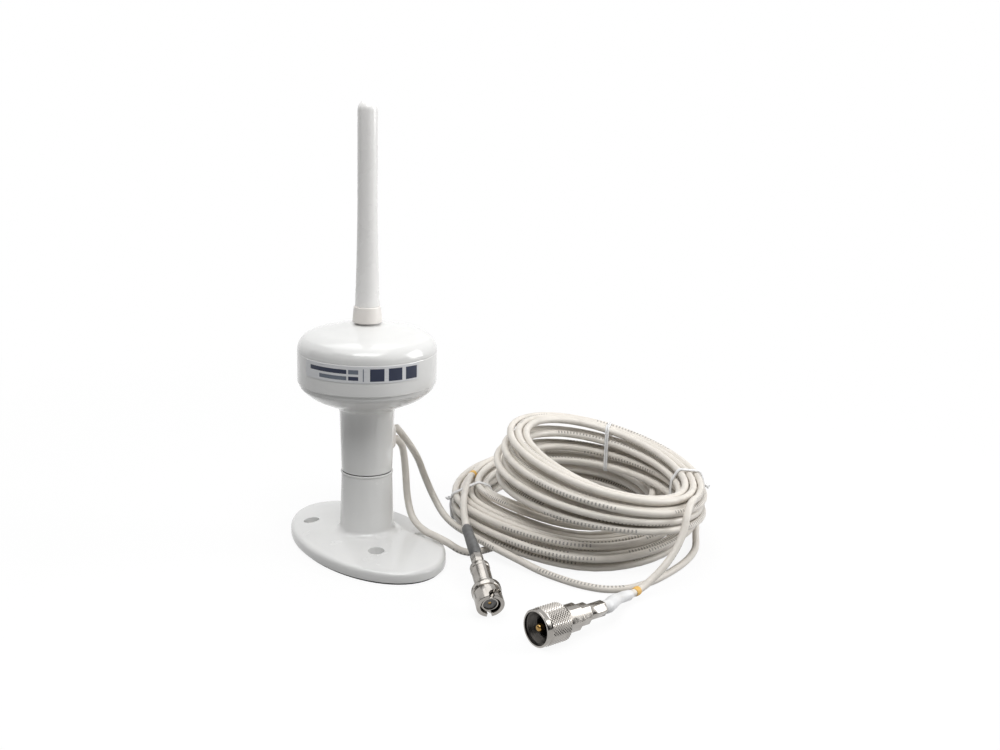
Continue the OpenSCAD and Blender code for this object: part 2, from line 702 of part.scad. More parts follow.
module circuit_board() {
    color("darkgreen") translate([0, 0, board_h]) difference() {
        cylinder(r = board_r, h = board_t, $fn = round_fn);
        translate([0, 0, -over]) cylinder(r = hub_hole_r, h = board_t + 2 * over, $fn = small_fn);
    }
}

module gps_patch() {
    color("tan") translate([-patch_s / 2, patch_y - patch_s / 2 - hub_hole_r, board_h + board_t])
        cube([patch_s, patch_s - hub_hole_r, patch_t]);
}

module shield_can() {
    color("silver") translate([-can_size[0] / 2, can_y - can_size[1] / 2, board_h + board_t])
        cube(can_size);
}

module board_screws() {
    color("gray") for (t = [45 : 90 : 315]) rotate(t) translate([post_spot, 0, board_h + board_t])
        cylinder(d = screw_head_d, h = screw_head_h, $fn = small_fn);
}

// Whip's feed-through in the crown

module stud_insulator() {
    color("ivory") difference() {
        translate([0, 0, crown_h - cover_wall - boss_h])
            cylinder(r = insulator_r, h = cover_wall + boss_h, $fn = small_fn);
        translate([0, 0, crown_h - cover_wall - boss_h - over])
            cylinder(r = stud_r + fit, h = cover_wall + boss_h + 2 * over, $fn = small_fn);
    }
}

module whip_stud() {
    low = crown_h - cover_wall - boss_h;
    color("gold") {
        translate([0, 0, low - stud_flange_t])
            cylinder(r = stud_flange_r, h = stud_flange_t, $fn = small_fn);
        translate([0, 0, low - stud_flange_t])
            cylinder(r = stud_r, h = stud_top_h - low + stud_flange_t, $fn = small_fn);
    }
}

module stud_nut() {
    top = crown_h - cover_wall - boss_h - stud_flange_t;
    color("goldenrod") translate([0, 0, top - nut_t]) cylinder(d = nut_af / cos(30), h = nut_t, $fn = 6);
}

module whip_seal() {
    color("dimgray") translate([0, 0, seat_h]) difference() {
        cylinder(r = collar_r - whip_seal_inset, h = whip_seal_t, $fn = round_fn);
        translate([0, 0, -over]) cylinder(r = insulator_r + fit, h = whip_seal_t + 2 * over,
            $fn = small_fn);
    }
}

// Whip: everything above the seal turns with the collar

module whip_collar() {
    color("whitesmoke") difference() {
        rotate_extrude($fn = round_fn) polygon([[0, collar_low_h], [collar_r - collar_rim, collar_low_h],
            [collar_r, collar_low_h + collar_rim], [collar_top_r, collar_top_h - collar_rim],
            [collar_top_r - collar_rim, collar_top_h], [0, collar_top_h]]);
        translate([0, 0, collar_low_h - over])
            cylinder(r = insert_r, h = collar_h + 2 * over, $fn = small_fn);
    }
}

module whip_insert() {
    color("gold") difference() {
        translate([0, 0, collar_low_h + insert_foot])
            cylinder(r = insert_r, h = insert_top_h - collar_low_h - insert_foot, $fn = small_fn);
        translate([0, 0, collar_low_h])
            cylinder(r = stud_r + screw_fit, h = stud_top_h + run_fit - collar_low_h, $fn = small_fn);
    }
}

module whip_core() {
    color("beige") translate([0, 0, insert_top_h])
        cylinder(r = core_r, h = whip_tip_h - whip_tip_r - insert_top_h, $fn = small_fn);
}

radiator_pitch = (whip_tip_h - whip_tip_r - radiator_foot - radiator_low_h) / radiator_turns;
radiator_line = [for (i = [0 : radiator_turns * radiator_rings]) let (t = 360 * i / radiator_rings)
    [radiator_r * cos(t), radiator_r * sin(t), radiator_low_h + radiator_pitch * i / radiator_rings]];

module whip_radiator() {
    color("chocolate") tube(radiator_line, coil_wire_d, coil_sides);
}

module whip_sheath() {
    bore_r = whip_tip_r - sheath_wall;
    color("white") difference() {
        rotate_extrude($fn = round_fn) polygon(concat(
            [[0, collar_top_h], [whip_foot_r, collar_top_h]],
            [for (i = [1 : 6]) [mix(whip_foot_r, whip_tip_r, 1 - pow(1 - i / 6, 1.6)),
                collar_top_h + whip_taper_l * i / 6]],
            [for (i = [0 : tip_steps]) let (t = 90 * i / tip_steps)
                [whip_tip_r * cos(t), whip_tip_h - whip_tip_r + whip_tip_r * sin(t)]]));
        translate([0, 0, collar_top_h - over])
            cylinder(r = insert_r + fit, h = insert_top_h - collar_top_h + over + fit, $fn = small_fn);
        translate([0, 0, collar_top_h])
            cylinder(r = bore_r, h = whip_tip_h - whip_tip_r - collar_top_h, $fn = small_fn);
    }
}

// Leads inside the head and the column, down to the grommet

gps_lead_line = concat(spline(concat(from_board(gps_lead_places), [gps_exit - 2 * cord_d * exit_way]), 2),
    [gps_exit - cord_d * exit_way, gps_exit]);
vhf_lead_line = concat(spline(concat(from_board(vhf_lead_places), [vhf_exit - 2 * cord_d * exit_way]), 2),
    [vhf_exit - cord_d * exit_way, vhf_exit]);

module gps_lead() { color("whitesmoke") tube(gps_lead_line, cord_d, run_sides); }
module vhf_lead() { color("whitesmoke") tube(vhf_lead_line, cord_d, run_sides); }

// Leads outside

module gps_run() { color("linen") tube(gps_run_line, cord_d, run_sides); }
module gps_coil() { color("linen") tube(lower_line, cord_d, coil_sides); }
module gps_tail() { color("linen") tube(gps_tail_line, cord_d, run_sides); }
module vhf_run() { color("linen") tube(vhf_run_line, cord_d, run_sides); }
module vhf_coil() { color("linen") tube(upper_line, cord_d, coil_sides); }
module vhf_tail() { color("linen") tube(vhf_tail_line, cord_d, run_sides); }

// A straight band round a lead between two points
module band(from, to, d) {
    way = to - from;
    translate(from) rotate([0, acos(way[2] / norm(way)), atan2(way[1], way[0])]) difference() {
        cylinder(d = d, h = norm(way), $fn = small_fn);
        translate([0, 0, -over]) cylinder(d = cord_bore_d, h = norm(way) + 2 * over, $fn = small_fn);
    }
}
module gps_marker() {
    p = gps_tail_line;
    color("khaki") band(p[0] + 0.15 * (p[1] - p[0]), p[0] + 0.95 * (p[1] - p[0]), marker_d);
}
module vhf_marker() {
    p = vhf_tail_line;
    i = len(p) - 9;
    way = unit(p[i + 1] - p[i]);
    middle = (p[i] + p[i + 1]) / 2;
    color("khaki") band(middle - marker_l / 3 * way, middle + marker_l / 3 * way, marker_d);
}

// Sleeves follow the last stretch of their lead up to the plug's ferrule
function left_after(p, i) = line_length([for (j = [i : len(p) - 1]) p[j]]);
function sleeve_first(p, l) = [for (i = [0 : len(p) - 1]) if (left_after(p, i) <= l) i][0];
module gps_sleeve() {
    color("dimgray") sleeve(gps_tail_line, sleeve_first(gps_tail_line, gps_sleeve_l), sleeve_d,
        cord_bore_d, run_sides);
}
module vhf_sleeve() {
    color("white") sleeve(vhf_tail_line, sleeve_first(vhf_tail_line, vhf_sleeve_l), vhf_sleeve_d,
        cord_bore_d, run_sides);
}

// Bayonet plug

module bnc_nut() {
    color("silver") on_plug(bnc_face, bnc_bearing, bnc_pitch) difference() {
        cylinder(d = bnc_nut_d, h = bnc_nut_l, $fn = round_fn);
        translate([0, 0, -over]) cylinder(r = bnc_bore_r, h = bnc_nut_l - bnc_lip_t + over, $fn = round_fn);
        translate([0, 0, -over]) cylinder(r = bnc_collet_r + journal_fit, h = bnc_nut_l + 2 * over,
            $fn = round_fn);
        for (side = [0, 180]) rotate(side) {
            translate([0, -bnc_slot_w / 2, -over])
                cube([bnc_nut_d, bnc_slot_w, bnc_slot_in + bnc_slot_w + over]);
            translate([0, 0, bnc_slot_in]) rotate_extrude(angle = bnc_slot_turn, $fn = round_fn)
                translate([bnc_bore_r - fit, 0]) square([bnc_nut_d, bnc_slot_w]);
            rotate(bnc_slot_turn) translate([0, 0, bnc_slot_in + bnc_slot_w / 2]) rotate([0, 90, 0])
                cylinder(d = bnc_slot_w + 0.8, h = bnc_nut_d, $fn = small_fn);
        }
    }
}

module bnc_body() {
    body_from = bnc_nut_l + run_fit;
    body_l = bnc_l - bnc_ferrule_l - body_from;
    color("silver") on_plug(bnc_face, bnc_bearing, bnc_pitch) difference() {
        union() {
            translate([0, 0, bnc_collet_from])
                cylinder(r = bnc_collet_r, h = body_from - bnc_collet_from, $fn = round_fn);
            translate([0, 0, bnc_collar_top - bnc_collar_t])
                cylinder(r = bnc_collar_r, h = bnc_collar_t, $fn = round_fn);
            translate([0, 0, body_from]) cylinder(d = bnc_body_d, h = body_l, $fn = round_fn);
        }
        translate([0, 0, -over]) cylinder(r = bnc_collet_bore_r, h = bnc_seat_l + over, $fn = round_fn);
        translate([0, 0, -over]) cylinder(r = bnc_core_r, h = bnc_l, $fn = small_fn);
    }
}

module bnc_gasket() {
    color("orangered") on_plug(bnc_face, bnc_bearing, bnc_pitch)
        translate([0, 0, bnc_collar_top - bnc_collar_t - gasket_ring_t]) difference() {
            cylinder(r = bnc_bore_r - run_fit, h = gasket_ring_t, $fn = round_fn);
            translate([0, 0, -over]) cylinder(r = bnc_collet_r + fit / 2, h = gasket_ring_t + 2 * over,
                $fn = round_fn);
        }
}

module bnc_insulator() {
    color("white") on_plug(bnc_face, bnc_bearing, bnc_pitch) difference() {
        translate([0, 0, bnc_core_from])
            cylinder(r = bnc_core_r - fit, h = bnc_core_to - bnc_core_from, $fn = small_fn);
        cylinder(r = bnc_pin_r + fit / 2, h = bnc_pin_to, $fn = small_fn);
    }
}

module bnc_pin() {
    color("gold") on_plug(bnc_face, bnc_bearing, bnc_pitch) translate([0, 0, bnc_pin_from])
        cylinder(r = bnc_pin_r, h = bnc_pin_to - bnc_pin_from, $fn = small_fn);
}

module bnc_ferrule() {
    color("gray") on_plug(bnc_face, bnc_bearing, bnc_pitch) translate([0, 0, bnc_l - bnc_ferrule_l])
        cylinder(d = bnc_ferrule_d, h = bnc_ferrule_l, $fn = small_fn);
}

// Screw plug

module uhf_ring() {
    color("silver") on_plug(uhf_face, uhf_bearing, uhf_pitch) difference() {
        cylinder(d = uhf_ring_d, h = uhf_ring_l, $fn = round_fn);
        translate([0, 0, -over]) cylinder(r = uhf_thread_r, h = uhf_ring_l - uhf_lip_t + over,
            $fn = round_fn);
        translate([0, 0, -over]) cylinder(r = uhf_front_r + journal_fit, h = uhf_ring_l + 2 * over,
            $fn = round_fn);
    }
}

module uhf_body() {
    shoulder_from = uhf_ring_l - uhf_lip_t - run_fit - uhf_shoulder_t;
    body_from = uhf_ring_l + run_fit;
    step_from = uhf_l - uhf_ferrule_l - uhf_step_l;
    color("silver") on_plug(uhf_face, uhf_bearing, uhf_pitch) difference() {
        union() {
            translate([0, 0, uhf_front_from])
                cylinder(r = uhf_front_r, h = body_from - uhf_front_from, $fn = round_fn);
            translate([0, 0, shoulder_from])
                cylinder(r = uhf_shoulder_r, h = uhf_shoulder_t, $fn = round_fn);
            translate([0, 0, body_from]) cylinder(d = uhf_body_d, h = step_from - body_from,
                $fn = round_fn);
            translate([0, 0, step_from]) cylinder(r = uhf_step_r, h = uhf_step_l, $fn = round_fn);
        }
        translate([0, 0, -over]) cylinder(r = uhf_front_bore_r, h = uhf_core_from + uhf_core_t + over,
            $fn = round_fn);
        translate([0, 0, -over]) cylinder(r = uhf_core_r, h = uhf_l - uhf_ferrule_l, $fn = small_fn);
    }
}

module uhf_insulator() {
    color("ivory") on_plug(uhf_face, uhf_bearing, uhf_pitch) difference() {
        union() {
            translate([0, 0, uhf_core_from])
                cylinder(r = uhf_front_bore_r - fit, h = uhf_core_t, $fn = small_fn);
            translate([0, 0, uhf_core_from])
                cylinder(r = uhf_core_r - fit, h = uhf_l / 2 - uhf_core_from, $fn = small_fn);
        }
        translate([0, 0, uhf_core_from - over]) cylinder(d = uhf_pin_d + fit, h = uhf_l, $fn = small_fn);
    }
}

module uhf_pin() {
    color("gold") on_plug(uhf_face, uhf_bearing, uhf_pitch) translate([0, 0, uhf_pin_from]) {
        translate([0, 0, uhf_pin_d / 4])
            cylinder(d = uhf_pin_d, h = uhf_l / 2 - uhf_pin_from, $fn = small_fn);
        cylinder(d1 = uhf_pin_d / 2, d2 = uhf_pin_d, h = uhf_pin_d / 4, $fn = small_fn);
    }
}

module uhf_ferrule() {
    color("silver") on_plug(uhf_face, uhf_bearing, uhf_pitch) translate([0, 0, uhf_l - uhf_ferrule_l])
        cylinder(d = uhf_ferrule_d, h = uhf_ferrule_l, $fn = small_fn);
}

// Wire ties round the bundles: a loop round the four corners of the bundle at one bearing
function corner_arc(c, out, up, r, from)
    = [for (t = [from : 45 : from + 90]) c + r * (cos(t) * out + sin(t) * up)];
function tie_line(outer_low, inner_low, outer_top, inner_top) = let (r = cord_r + tie_gap + tie_d / 2,
        out = unit([outer_low[0] - inner_low[0], outer_low[1] - inner_low[1], 0]), up = [0, 0, 1])
    concat(corner_arc(outer_top, out, up, r, 0), corner_arc(inner_top, out, up, r, 90),
        corner_arc(inner_low, out, up, r, 180), corner_arc(outer_low, out, up, r, 270));

module lower_tie() {
    t = lower_wire_turn;
    h = lower_loops / 2;
    color("white") wire_loop(tie_line(lower_point(t, h, 0), lower_point(t, -h, 0),
        lower_point(t, h, 3), lower_point(t, -h, 3)), tie_d, coil_sides);
}
module upper_tie(t) {
    h = upper_loops / 2;
    color("white") wire_loop(tie_line(upper_point(t, h, 0), upper_point(t, -h, 0),
        upper_point(t, h, 3), upper_point(t, -h, 3)), tie_d, coil_sides);
}
module upper_back_tie() { upper_tie(back_wire_turn); }
module upper_side_tie() { upper_tie(side_wire_turn); }

base_gasket();
base_flange();
lower_column();
joint_seal();
upper_column();
lower_cover();
cable_grommet();
upper_cover();
cover_seal();
label();
ground_plane();
circuit_board();
gps_patch();
shield_can();
board_screws();
stud_insulator();
whip_stud();
stud_nut();
whip_seal();
whip_collar();
whip_insert();
whip_core();
whip_radiator();
whip_sheath();
gps_lead();
vhf_lead();
gps_run();
gps_coil();
gps_tail();
gps_marker();
gps_sleeve();
bnc_ferrule();
bnc_body();
bnc_insulator();
bnc_pin();
bnc_gasket();
bnc_nut();
vhf_run();
vhf_coil();
vhf_tail();
vhf_marker();
vhf_sleeve();
uhf_ferrule();
uhf_body();
uhf_insulator();
uhf_pin();
uhf_ring();
lower_tie();
upper_back_tie();
upper_side_tie();
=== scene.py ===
"""Combined marine aerial with two coiled leads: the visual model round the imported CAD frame."""

import math

import bmesh
import bpy
from mathutils import Matrix, Vector


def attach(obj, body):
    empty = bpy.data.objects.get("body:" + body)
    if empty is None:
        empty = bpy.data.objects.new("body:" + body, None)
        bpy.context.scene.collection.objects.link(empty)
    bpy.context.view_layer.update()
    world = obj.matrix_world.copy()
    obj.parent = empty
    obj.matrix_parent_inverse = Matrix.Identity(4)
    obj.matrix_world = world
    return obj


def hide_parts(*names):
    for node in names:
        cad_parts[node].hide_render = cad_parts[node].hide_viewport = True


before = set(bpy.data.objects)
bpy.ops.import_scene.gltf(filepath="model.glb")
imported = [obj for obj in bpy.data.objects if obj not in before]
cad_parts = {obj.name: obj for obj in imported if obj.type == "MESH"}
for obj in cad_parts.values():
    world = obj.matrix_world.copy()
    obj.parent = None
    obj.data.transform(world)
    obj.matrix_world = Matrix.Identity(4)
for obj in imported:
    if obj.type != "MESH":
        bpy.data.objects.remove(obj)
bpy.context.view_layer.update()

MM = 0.001
BODY, WHIP, NUT, RING = "aerial", "whip", "bayonet_nut", "coupling_ring"


# ---------------------------------------------------------------- sizes, as in the CAD, in mm

BASE_L, BASE_W, BASE_TURN = 120, 70, -64
BASE_EDGE_H, BASE_TOP_H, BASE_CROWN_H, RECESS_FLOOR_H = 4.4, 7.1, 9.9, 5.7
GASKET_T, FOOT_R, JOINT_H, NECK_H = 1, 18.3, 43, 75
SCREW_HOLE_D, COUNTERBORE_D, COUNTERBORE_FLOOR_H = 4.8, 8.4, 4
HOLE_SPOTS = [(-28.9, -19.2), (30.2, -9.4), (12, 26.6)]
HEAD_R, BELT_LOW_H, BELT_TOP_H, CROWN_H, WALL = 36, 91.4, 108, 121.5, 2.4
COLLAR_LOW_H, WHIP_FOOT_H, WHIP_TIP_H, WHIP_TIP_R = 122.6, 130.8, 235, 5.1
EXIT_TURN, GPS_EXIT_H, VHF_EXIT_H, EXIT_R = 35, 62.5, 56.5, 15.5
BOARD_H = 98
CORD_D = 3.8
CORD_R = CORD_D / 2

GPS_PLACES = [
    (21.5, 20, 52.5), (27.5, 30, 40), (32, 35.5, 27), (36.5, 35, 16.5), (42, 25.5, 8.8),
    (48, 13, 6.4), (54, 0, 6.8), (60.8, -13, 7), (69, -24.5, 6.3), (78.5, -35, 4.6), (88, -45, 2.8),
    (98, -54.5, 2), (108, -63, 1.9), (119, -68, 1.9), (131, -66.5, 1.9), (143, -58.5, 1.9),
    (155, -46, 1.9), (166.5, -30.5, 1.9), (175, -13, 1.9),
]
VHF_PLACES = [
    (19, 13.5, 50.5), (20.5, 12.5, 39), (21.5, 9.5, 25.5), (24, 4, 15.5), (29.5, -3.8, 10.6),
    (36, -10.5, 9.2), (42, -14.5, 7.2), (48.5, -17, 3.8), (55, -16.5, 2.1), (61.5, -13, 2),
    (68.5, -7.5, 2), (77, 1, 2), (83.5, 12, 2.1), (85.5, 26, 2.6), (86, 40, 6.5), (88, 52, 13.5),
    (92.5, 61.5, 21),
]
GPS_TAIL_PLACES = [
    (59, 60.5, 19), (56.5, 46, 19.5), (53.8, 27, 20.6), (52, 9, 22), (51, -8, 22.8),
    (50.6, -24, 23.3), (50.8, -40, 23.2),
]
VHF_TAIL_PLACES = [
    (164.5, -43.5, 38.4), (161, -51.5, 35), (158.5, -56.5, 28), (154, -61.5, 20.5), (147, -67, 13),
    (138, -72.5, 6.6), (130, -79.5, 4.6), (123, -87, 5.6), (117.8, -96.9, 8.2),
]
# The leads' places inside the head and the column, with heights from the board's
GPS_LEAD_PLACES = [(3, 13, -0.4), (3.2, 12, -8), (3.2, 7, -18), (1.5, 2.5, -27), (1, -0.5, -32.5)]
VHF_LEAD_PLACES = [(-3, 13, -0.4), (-3.2, 12, -8), (-3.8, 6, -18), (-5, -1, -28), (-4, -4.5, -36.5)]

LOOP_STEP, LAYER_RISE = 4.35, 5.4
LOWER_LOOPS, LOWER_TOTAL, LOWER_HALF_W, LOWER_HALF_D = 4.5, 15.5, 57, 75
LOWER_CENTRE, LOWER_START, LOWER_TIE_TURN = (114, 43, CORD_R), 340, 165
LOWER_SPREAD_SHARE, LOWER_LIFT_SHARE = 0.45, 0.12
BRIDGE_TURN, BRIDGE_HALF_TURN, BRIDGE_H = 220, 62, 4.9
UPPER_LOOPS, UPPER_TOTAL, UPPER_HALF_L, UPPER_HALF_W = 3.5, 13.375, 57.5, 47.2
UPPER_CENTRE, UPPER_TURN, UPPER_START, UPPER_TIE_TURN = (124.2, 6.6, 28.6), -69, 174, 34
UPPER_FAN_SHARE, UPPER_SHIFT_SHARES, UPPER_SLOPE_SHARE = 0.87, (0.33, 0.15), -0.1

BNC_NUT_D, BNC_NUT_L, BNC_L, BNC_BEARING, BNC_PITCH = 14.5, 12, 36, 98, 20
BNC_FACE = (58.3, -99, BNC_NUT_D / 2 * math.cos(math.radians(BNC_PITCH)) + 0.05)
UHF_RING_D, UHF_RING_L, UHF_L, UHF_BEARING, UHF_PITCH = 18.5, 16, 41, 34, 0
UHF_FACE = (76.2, -131, UHF_RING_D / 2)
BAYONET_PLUG, SCREW_PLUG = (BNC_FACE, BNC_BEARING, BNC_PITCH), (UHF_FACE, UHF_BEARING, UHF_PITCH)


# ---------------------------------------------------------------- the lines that the leads follow

RUN_STEPS = 4  # points from each place on a lead to the next
LOOP_POINTS = 48  # points in each loop of a coil
CLIMB_SHARE = 0.5  # share of a loop in which a coil climbs to its next layer


def cos_sin(turn):
    """Cosine and sine of an angle in degrees."""
    return math.cos(math.radians(turn)), math.sin(math.radians(turn))


def bearing(turn):
    """The direction of a bearing in plan, from +X."""
    return Vector((*cos_sin(turn), 0))


def back_way(turn, pitch):
    """The way back along a plug, from its face."""
    c, s = cos_sin(pitch)
    return bearing(turn) * c + Vector((0, 0, s))


def smooth01(t):
    """0 up to 0, 1 from 1 on, and an even curve between."""
    t = max(0.0, min(1.0, t))
    return t * t * (3 - 2 * t)


def across(u, n):
    """Where a loop lies across its bundle, steadily out and back."""
    k = math.floor(u / n)
    f = u - k * n
    return n / 2 - (f if k % 2 == 0 else n - f)


def layer(u, n):
    """The layer that a loop lies in, with n loops in each."""
    return sum(smooth01((u - k * n + CLIMB_SHARE / 2) / CLIMB_SHARE) for k in (1, 2, 3))


def away_share(turn, tie_turn):
    """0 at a coil's tie and 1 opposite, where its loops spread."""
    return (1 - cos_sin(turn - tie_turn)[0]) / 2


def bridge(turn):
    """The hump of the lower coil where the other lead passes under it."""
    t = abs(turn % 360 - BRIDGE_TURN) / BRIDGE_HALF_TURN
    return BRIDGE_H * cos_sin(90 * t)[0] ** 2 if t < 1 else 0


def lower_point(turn, a, b):
    away = away_share(turn, LOWER_TIE_TURN)
    off = LOOP_STEP * a * (1 + LOWER_SPREAD_SHARE * away)
    c, s = cos_sin(turn)
    rise = LAYER_RISE * b * (1 + LOWER_LIFT_SHARE * away) + bridge(turn)
    return Vector(LOWER_CENTRE) + Vector(((LOWER_HALF_W + off) * c, (LOWER_HALF_D + off) * s, rise))


def upper_point(turn, a, b):
    fan = away_share(turn, UPPER_TIE_TURN)
    off = LOOP_STEP * a
    c, s = cos_sin(turn)
    flat = Vector(((UPPER_HALF_L + off) * c, (UPPER_HALF_W + off) * s, 0))
    flat = Matrix.Rotation(math.radians(UPPER_TURN), 3, "Z") @ flat
    shift = LOOP_STEP * b * fan
    flat += Vector((shift * UPPER_SHIFT_SHARES[0], shift * UPPER_SHIFT_SHARES[1], 0))
    rise = LOOP_STEP * b * (1 + UPPER_FAN_SHARE * fan) + UPPER_SLOPE_SHARE * flat.x
    return Vector(UPPER_CENTRE) + flat + Vector((0, 0, rise))


def spline(places):
    """A smooth curve through places."""
    p = [Vector(q) for q in places]
    p = [2 * p[0] - p[1]] + p + [2 * p[-1] - p[-2]]
    line = []
    for a, b, c, d in zip(p, p[1:], p[2:], p[3:]):
        for j in range(RUN_STEPS):
            t = j / RUN_STEPS
            line.append(0.5 * (2 * b + (c - a) * t + (2 * a - 5 * b + 4 * c - d) * t * t
                               + (3 * b - a - 3 * c + d) * t ** 3))
    return line + [p[-2]]


def coil_line(point, start, direction, loops, total):
    """Points of a coil, at the same bearings as the CAD's own rings and one between each two."""
    return [point(start + direction * 360 * i / LOOP_POINTS, across(i / LOOP_POINTS, loops),
                  layer(i / LOOP_POINTS, loops)) for i in range(round(total * LOOP_POINTS) + 1)]


def exit_point(exit_h):
    return bearing(EXIT_TURN) * EXIT_R + Vector((0, 0, exit_h))


def lead_line(exit_h, places, coil, tail_places, plug, plug_l):
    """A lead's whole line: straight out of the grommet, through its coil, square into its plug."""
    start = exit_point(exit_h)
    ahead = coil[0] + CORD_D * (coil[0] - coil[1]).normalized()
    beyond = coil[-1] + CORD_D * (coil[-1] - coil[-2]).normalized()
    run = spline([start + CORD_D * bearing(EXIT_TURN)] + places + [ahead])
    way = back_way(*plug[1:])
    plug_end = Vector(plug[0]) + plug_l * way
    tail = spline([beyond] + tail_places + [plug_end + CORD_D * way])
    return [start] + run + coil + tail + [plug_end]


def line_length(line):
    return sum((b - a).length for a, b in zip(line, line[1:]))


def finer(line, step):
    """Points along a line at an even step."""
    out, left = [line[0]], step
    for a, b in zip(line, line[1:]):
        way, span, at = (b - a), (b - a).length, 0.0
        while span - at >= left:
            at += left
            out.append(a + way * (at / span))
            left = step
        left -= span - at
    return out


LOWER_COIL = (lower_point, LOWER_START, 1, LOWER_LOOPS, LOWER_TOTAL)
UPPER_COIL = (upper_point, UPPER_START, -1, UPPER_LOOPS, UPPER_TOTAL)
lower_coil = coil_line(*LOWER_COIL)
gps_line = lead_line(GPS_EXIT_H, GPS_PLACES, lower_coil, GPS_TAIL_PLACES, BAYONET_PLUG, BNC_L)
vhf_line = lead_line(VHF_EXIT_H, VHF_PLACES, coil_line(*UPPER_COIL), VHF_TAIL_PLACES, SCREW_PLUG,
                     UHF_L)


# ---------------------------------------------------------------- nodes of materials and the world

class Net:
    """The nodes of a material or of the world."""

    def __init__(self, owner):
        owner.use_nodes = True
        self.owner, self.nodes, self.links = owner, owner.node_tree.nodes, owner.node_tree.links

    def feed(self, socket, value):
        """Gives a socket a value, or links it to the socket that the value comes from."""
        if isinstance(value, bpy.types.NodeSocket):
            self.links.new(value, socket)
        elif value is not None:
            socket.default_value = value

    def add(self, kind, inputs=(), **settings):
        """A new node with its settings, and with what each of its inputs gets."""
        node = self.nodes.new("ShaderNode" + kind)
        for name, value in settings.items():
            setattr(node, name, value)
        for socket, value in inputs:
            self.feed(node.inputs[socket], value)
        return node

    def shade(self, socket, value):
        self.feed(self.nodes["Principled BSDF"].inputs[socket], value)

    def place(self):
        return self.add("TexCoord").outputs["Object"]

    def math(self, kind, first, second=None):
        return self.add("Math", [(0, first), (1, second)], operation=kind).outputs[0]

    def noise(self, place, scale, detail, stretch=None):
        if stretch:
            place = self.add("Mapping", [("Scale", stretch), ("Vector", place)]).outputs["Vector"]
        inputs = [("Scale", scale), ("Detail", detail), ("Vector", place)]
        return self.add("TexNoise", inputs).outputs["Fac"]

    def cloud(self, place, size, detail=3, stretch=None):
        """Soft noise whose spots are about size mm, shorter along an axis that is stretched."""
        return self.noise(place, 1 / (size * MM), detail, stretch)

    def between(self, share, low, high, start=0.3, end=0.7, **settings):
        """From low to high while a share goes from start to end."""
        inputs = [("Value", share), ("From Min", start), ("From Max", end), ("To Min", low),
                  ("To Max", high)]
        return self.add("MapRange", inputs, **settings).outputs["Result"]

    def blended(self, share, one, other):
        inputs = [(0, share), (6, one), (7, other)]
        return self.add("Mix", inputs, data_type="RGBA").outputs[2]

    def mixed(self, share, one, other):
        """A mix of two shaders."""
        return self.add("MixShader", [(0, share), (1, one), (2, other)]).outputs[0]

    def relief(self, height, depth, strength=1, before=None):
        """Relief of depth mm on the surface, on top of the relief before it."""
        inputs = [("Height", height), ("Distance", depth * MM), ("Strength", strength),
                  ("Normal", before)]
        self.shade("Normal", self.add("Bump", inputs).outputs["Normal"])


# ---------------------------------------------------------------- camera, floor and lights

CAMERA_AT = (0, -0.75627, 0.28728)
CAMERA_PITCH, CAMERA_YAW, CAMERA_ROLL = 0.24881, 0.09111, 0.02453
CAMERA_LENS, CAMERA_SENSOR, CAMERA_NEAR = 54, 36, 0.01
FLOOR_HALF = 6
FLOOR_TONE, FLOOR_SHADOW_SHARE, FLOOR_WHITE = 0.31, 0.1, 1
FLOOR_FADE = (0.2, 0.5)  # where the shadow on the floor starts to fade and where it ends, in m
SKY_LIGHT = 0.25
# Lamps: name, place and aim in m, width and height in m, watts
LAMPS = [
    ("top_softbox", (-0.1, 0.0, 1.15), (0.04, 0, 0.05), 1.6, 1.2, 9.2),
    ("right_softbox", (1.1, -0.05, 0.45), (0.05, 0, 0.1), 0.6, 0.7, 6.4),
    ("high_front_strip", (0.0, -0.8, 1.25), (0.05, 0, 0.14), 0.9, 0.45, 6.5),
]
# Dark cards that the camera doesn't see: name, place, aim, width and height in m
CARDS = [
    ("card_behind_camera", (0.0, -1.5, 0.3), (0, 0, 0.2), 2.4, 1.1),
    ("card_left", (-1.1, -0.3, 0.3), (0, 0, 0.2), 1.5, 0.9),
    ("card_right", (1.3, -0.75, 0.2), (0, 0, 0.2), 0.8, 0.7),
    ("card_high_left", (-0.8, -0.75, 1.0), (0, 0, 0.1), 0.9, 0.4),
]
CARD_TONE, CARD_ROUGH = 0.03, 0.9


def grey(level):
    return (level, level, level, 1)


def make_camera():
    ahead = Vector((math.sin(CAMERA_YAW) * math.cos(CAMERA_PITCH),
                    math.cos(CAMERA_YAW) * math.cos(CAMERA_PITCH), -math.sin(CAMERA_PITCH)))
    level = Vector((math.cos(CAMERA_YAW), -math.sin(CAMERA_YAW), 0))
    up = level.cross(ahead)
    right = math.cos(CAMERA_ROLL) * level + math.sin(CAMERA_ROLL) * up
    up = right.cross(ahead)
    camera = bpy.data.objects.new("camera", bpy.data.cameras.new("camera"))
    bpy.context.collection.objects.link(camera)
    turn = Matrix((right, up, -ahead)).transposed()
    camera.matrix_world = Matrix.Translation(CAMERA_AT) @ turn.to_4x4()
    camera.data.lens = CAMERA_LENS
    camera.data.sensor_width = CAMERA_SENSOR
    camera.data.clip_start = CAMERA_NEAR
    bpy.context.scene.camera = camera


def aim(thing, place, target):
    thing.location = place
    thing.rotation_euler = (Vector(target) - Vector(place)).to_track_quat("-Z", "Y").to_euler()


def seen_share(net):
    """1 for what is seen, itself, in a reflection or through glass, and 0 for light on things."""
    rays = net.add("LightPath").outputs
    seen = rays["Is Camera Ray"]
    for ray in ("Is Glossy Ray", "Is Transmission Ray"):
        seen = net.math("MAXIMUM", seen, rays[ray])
    return seen


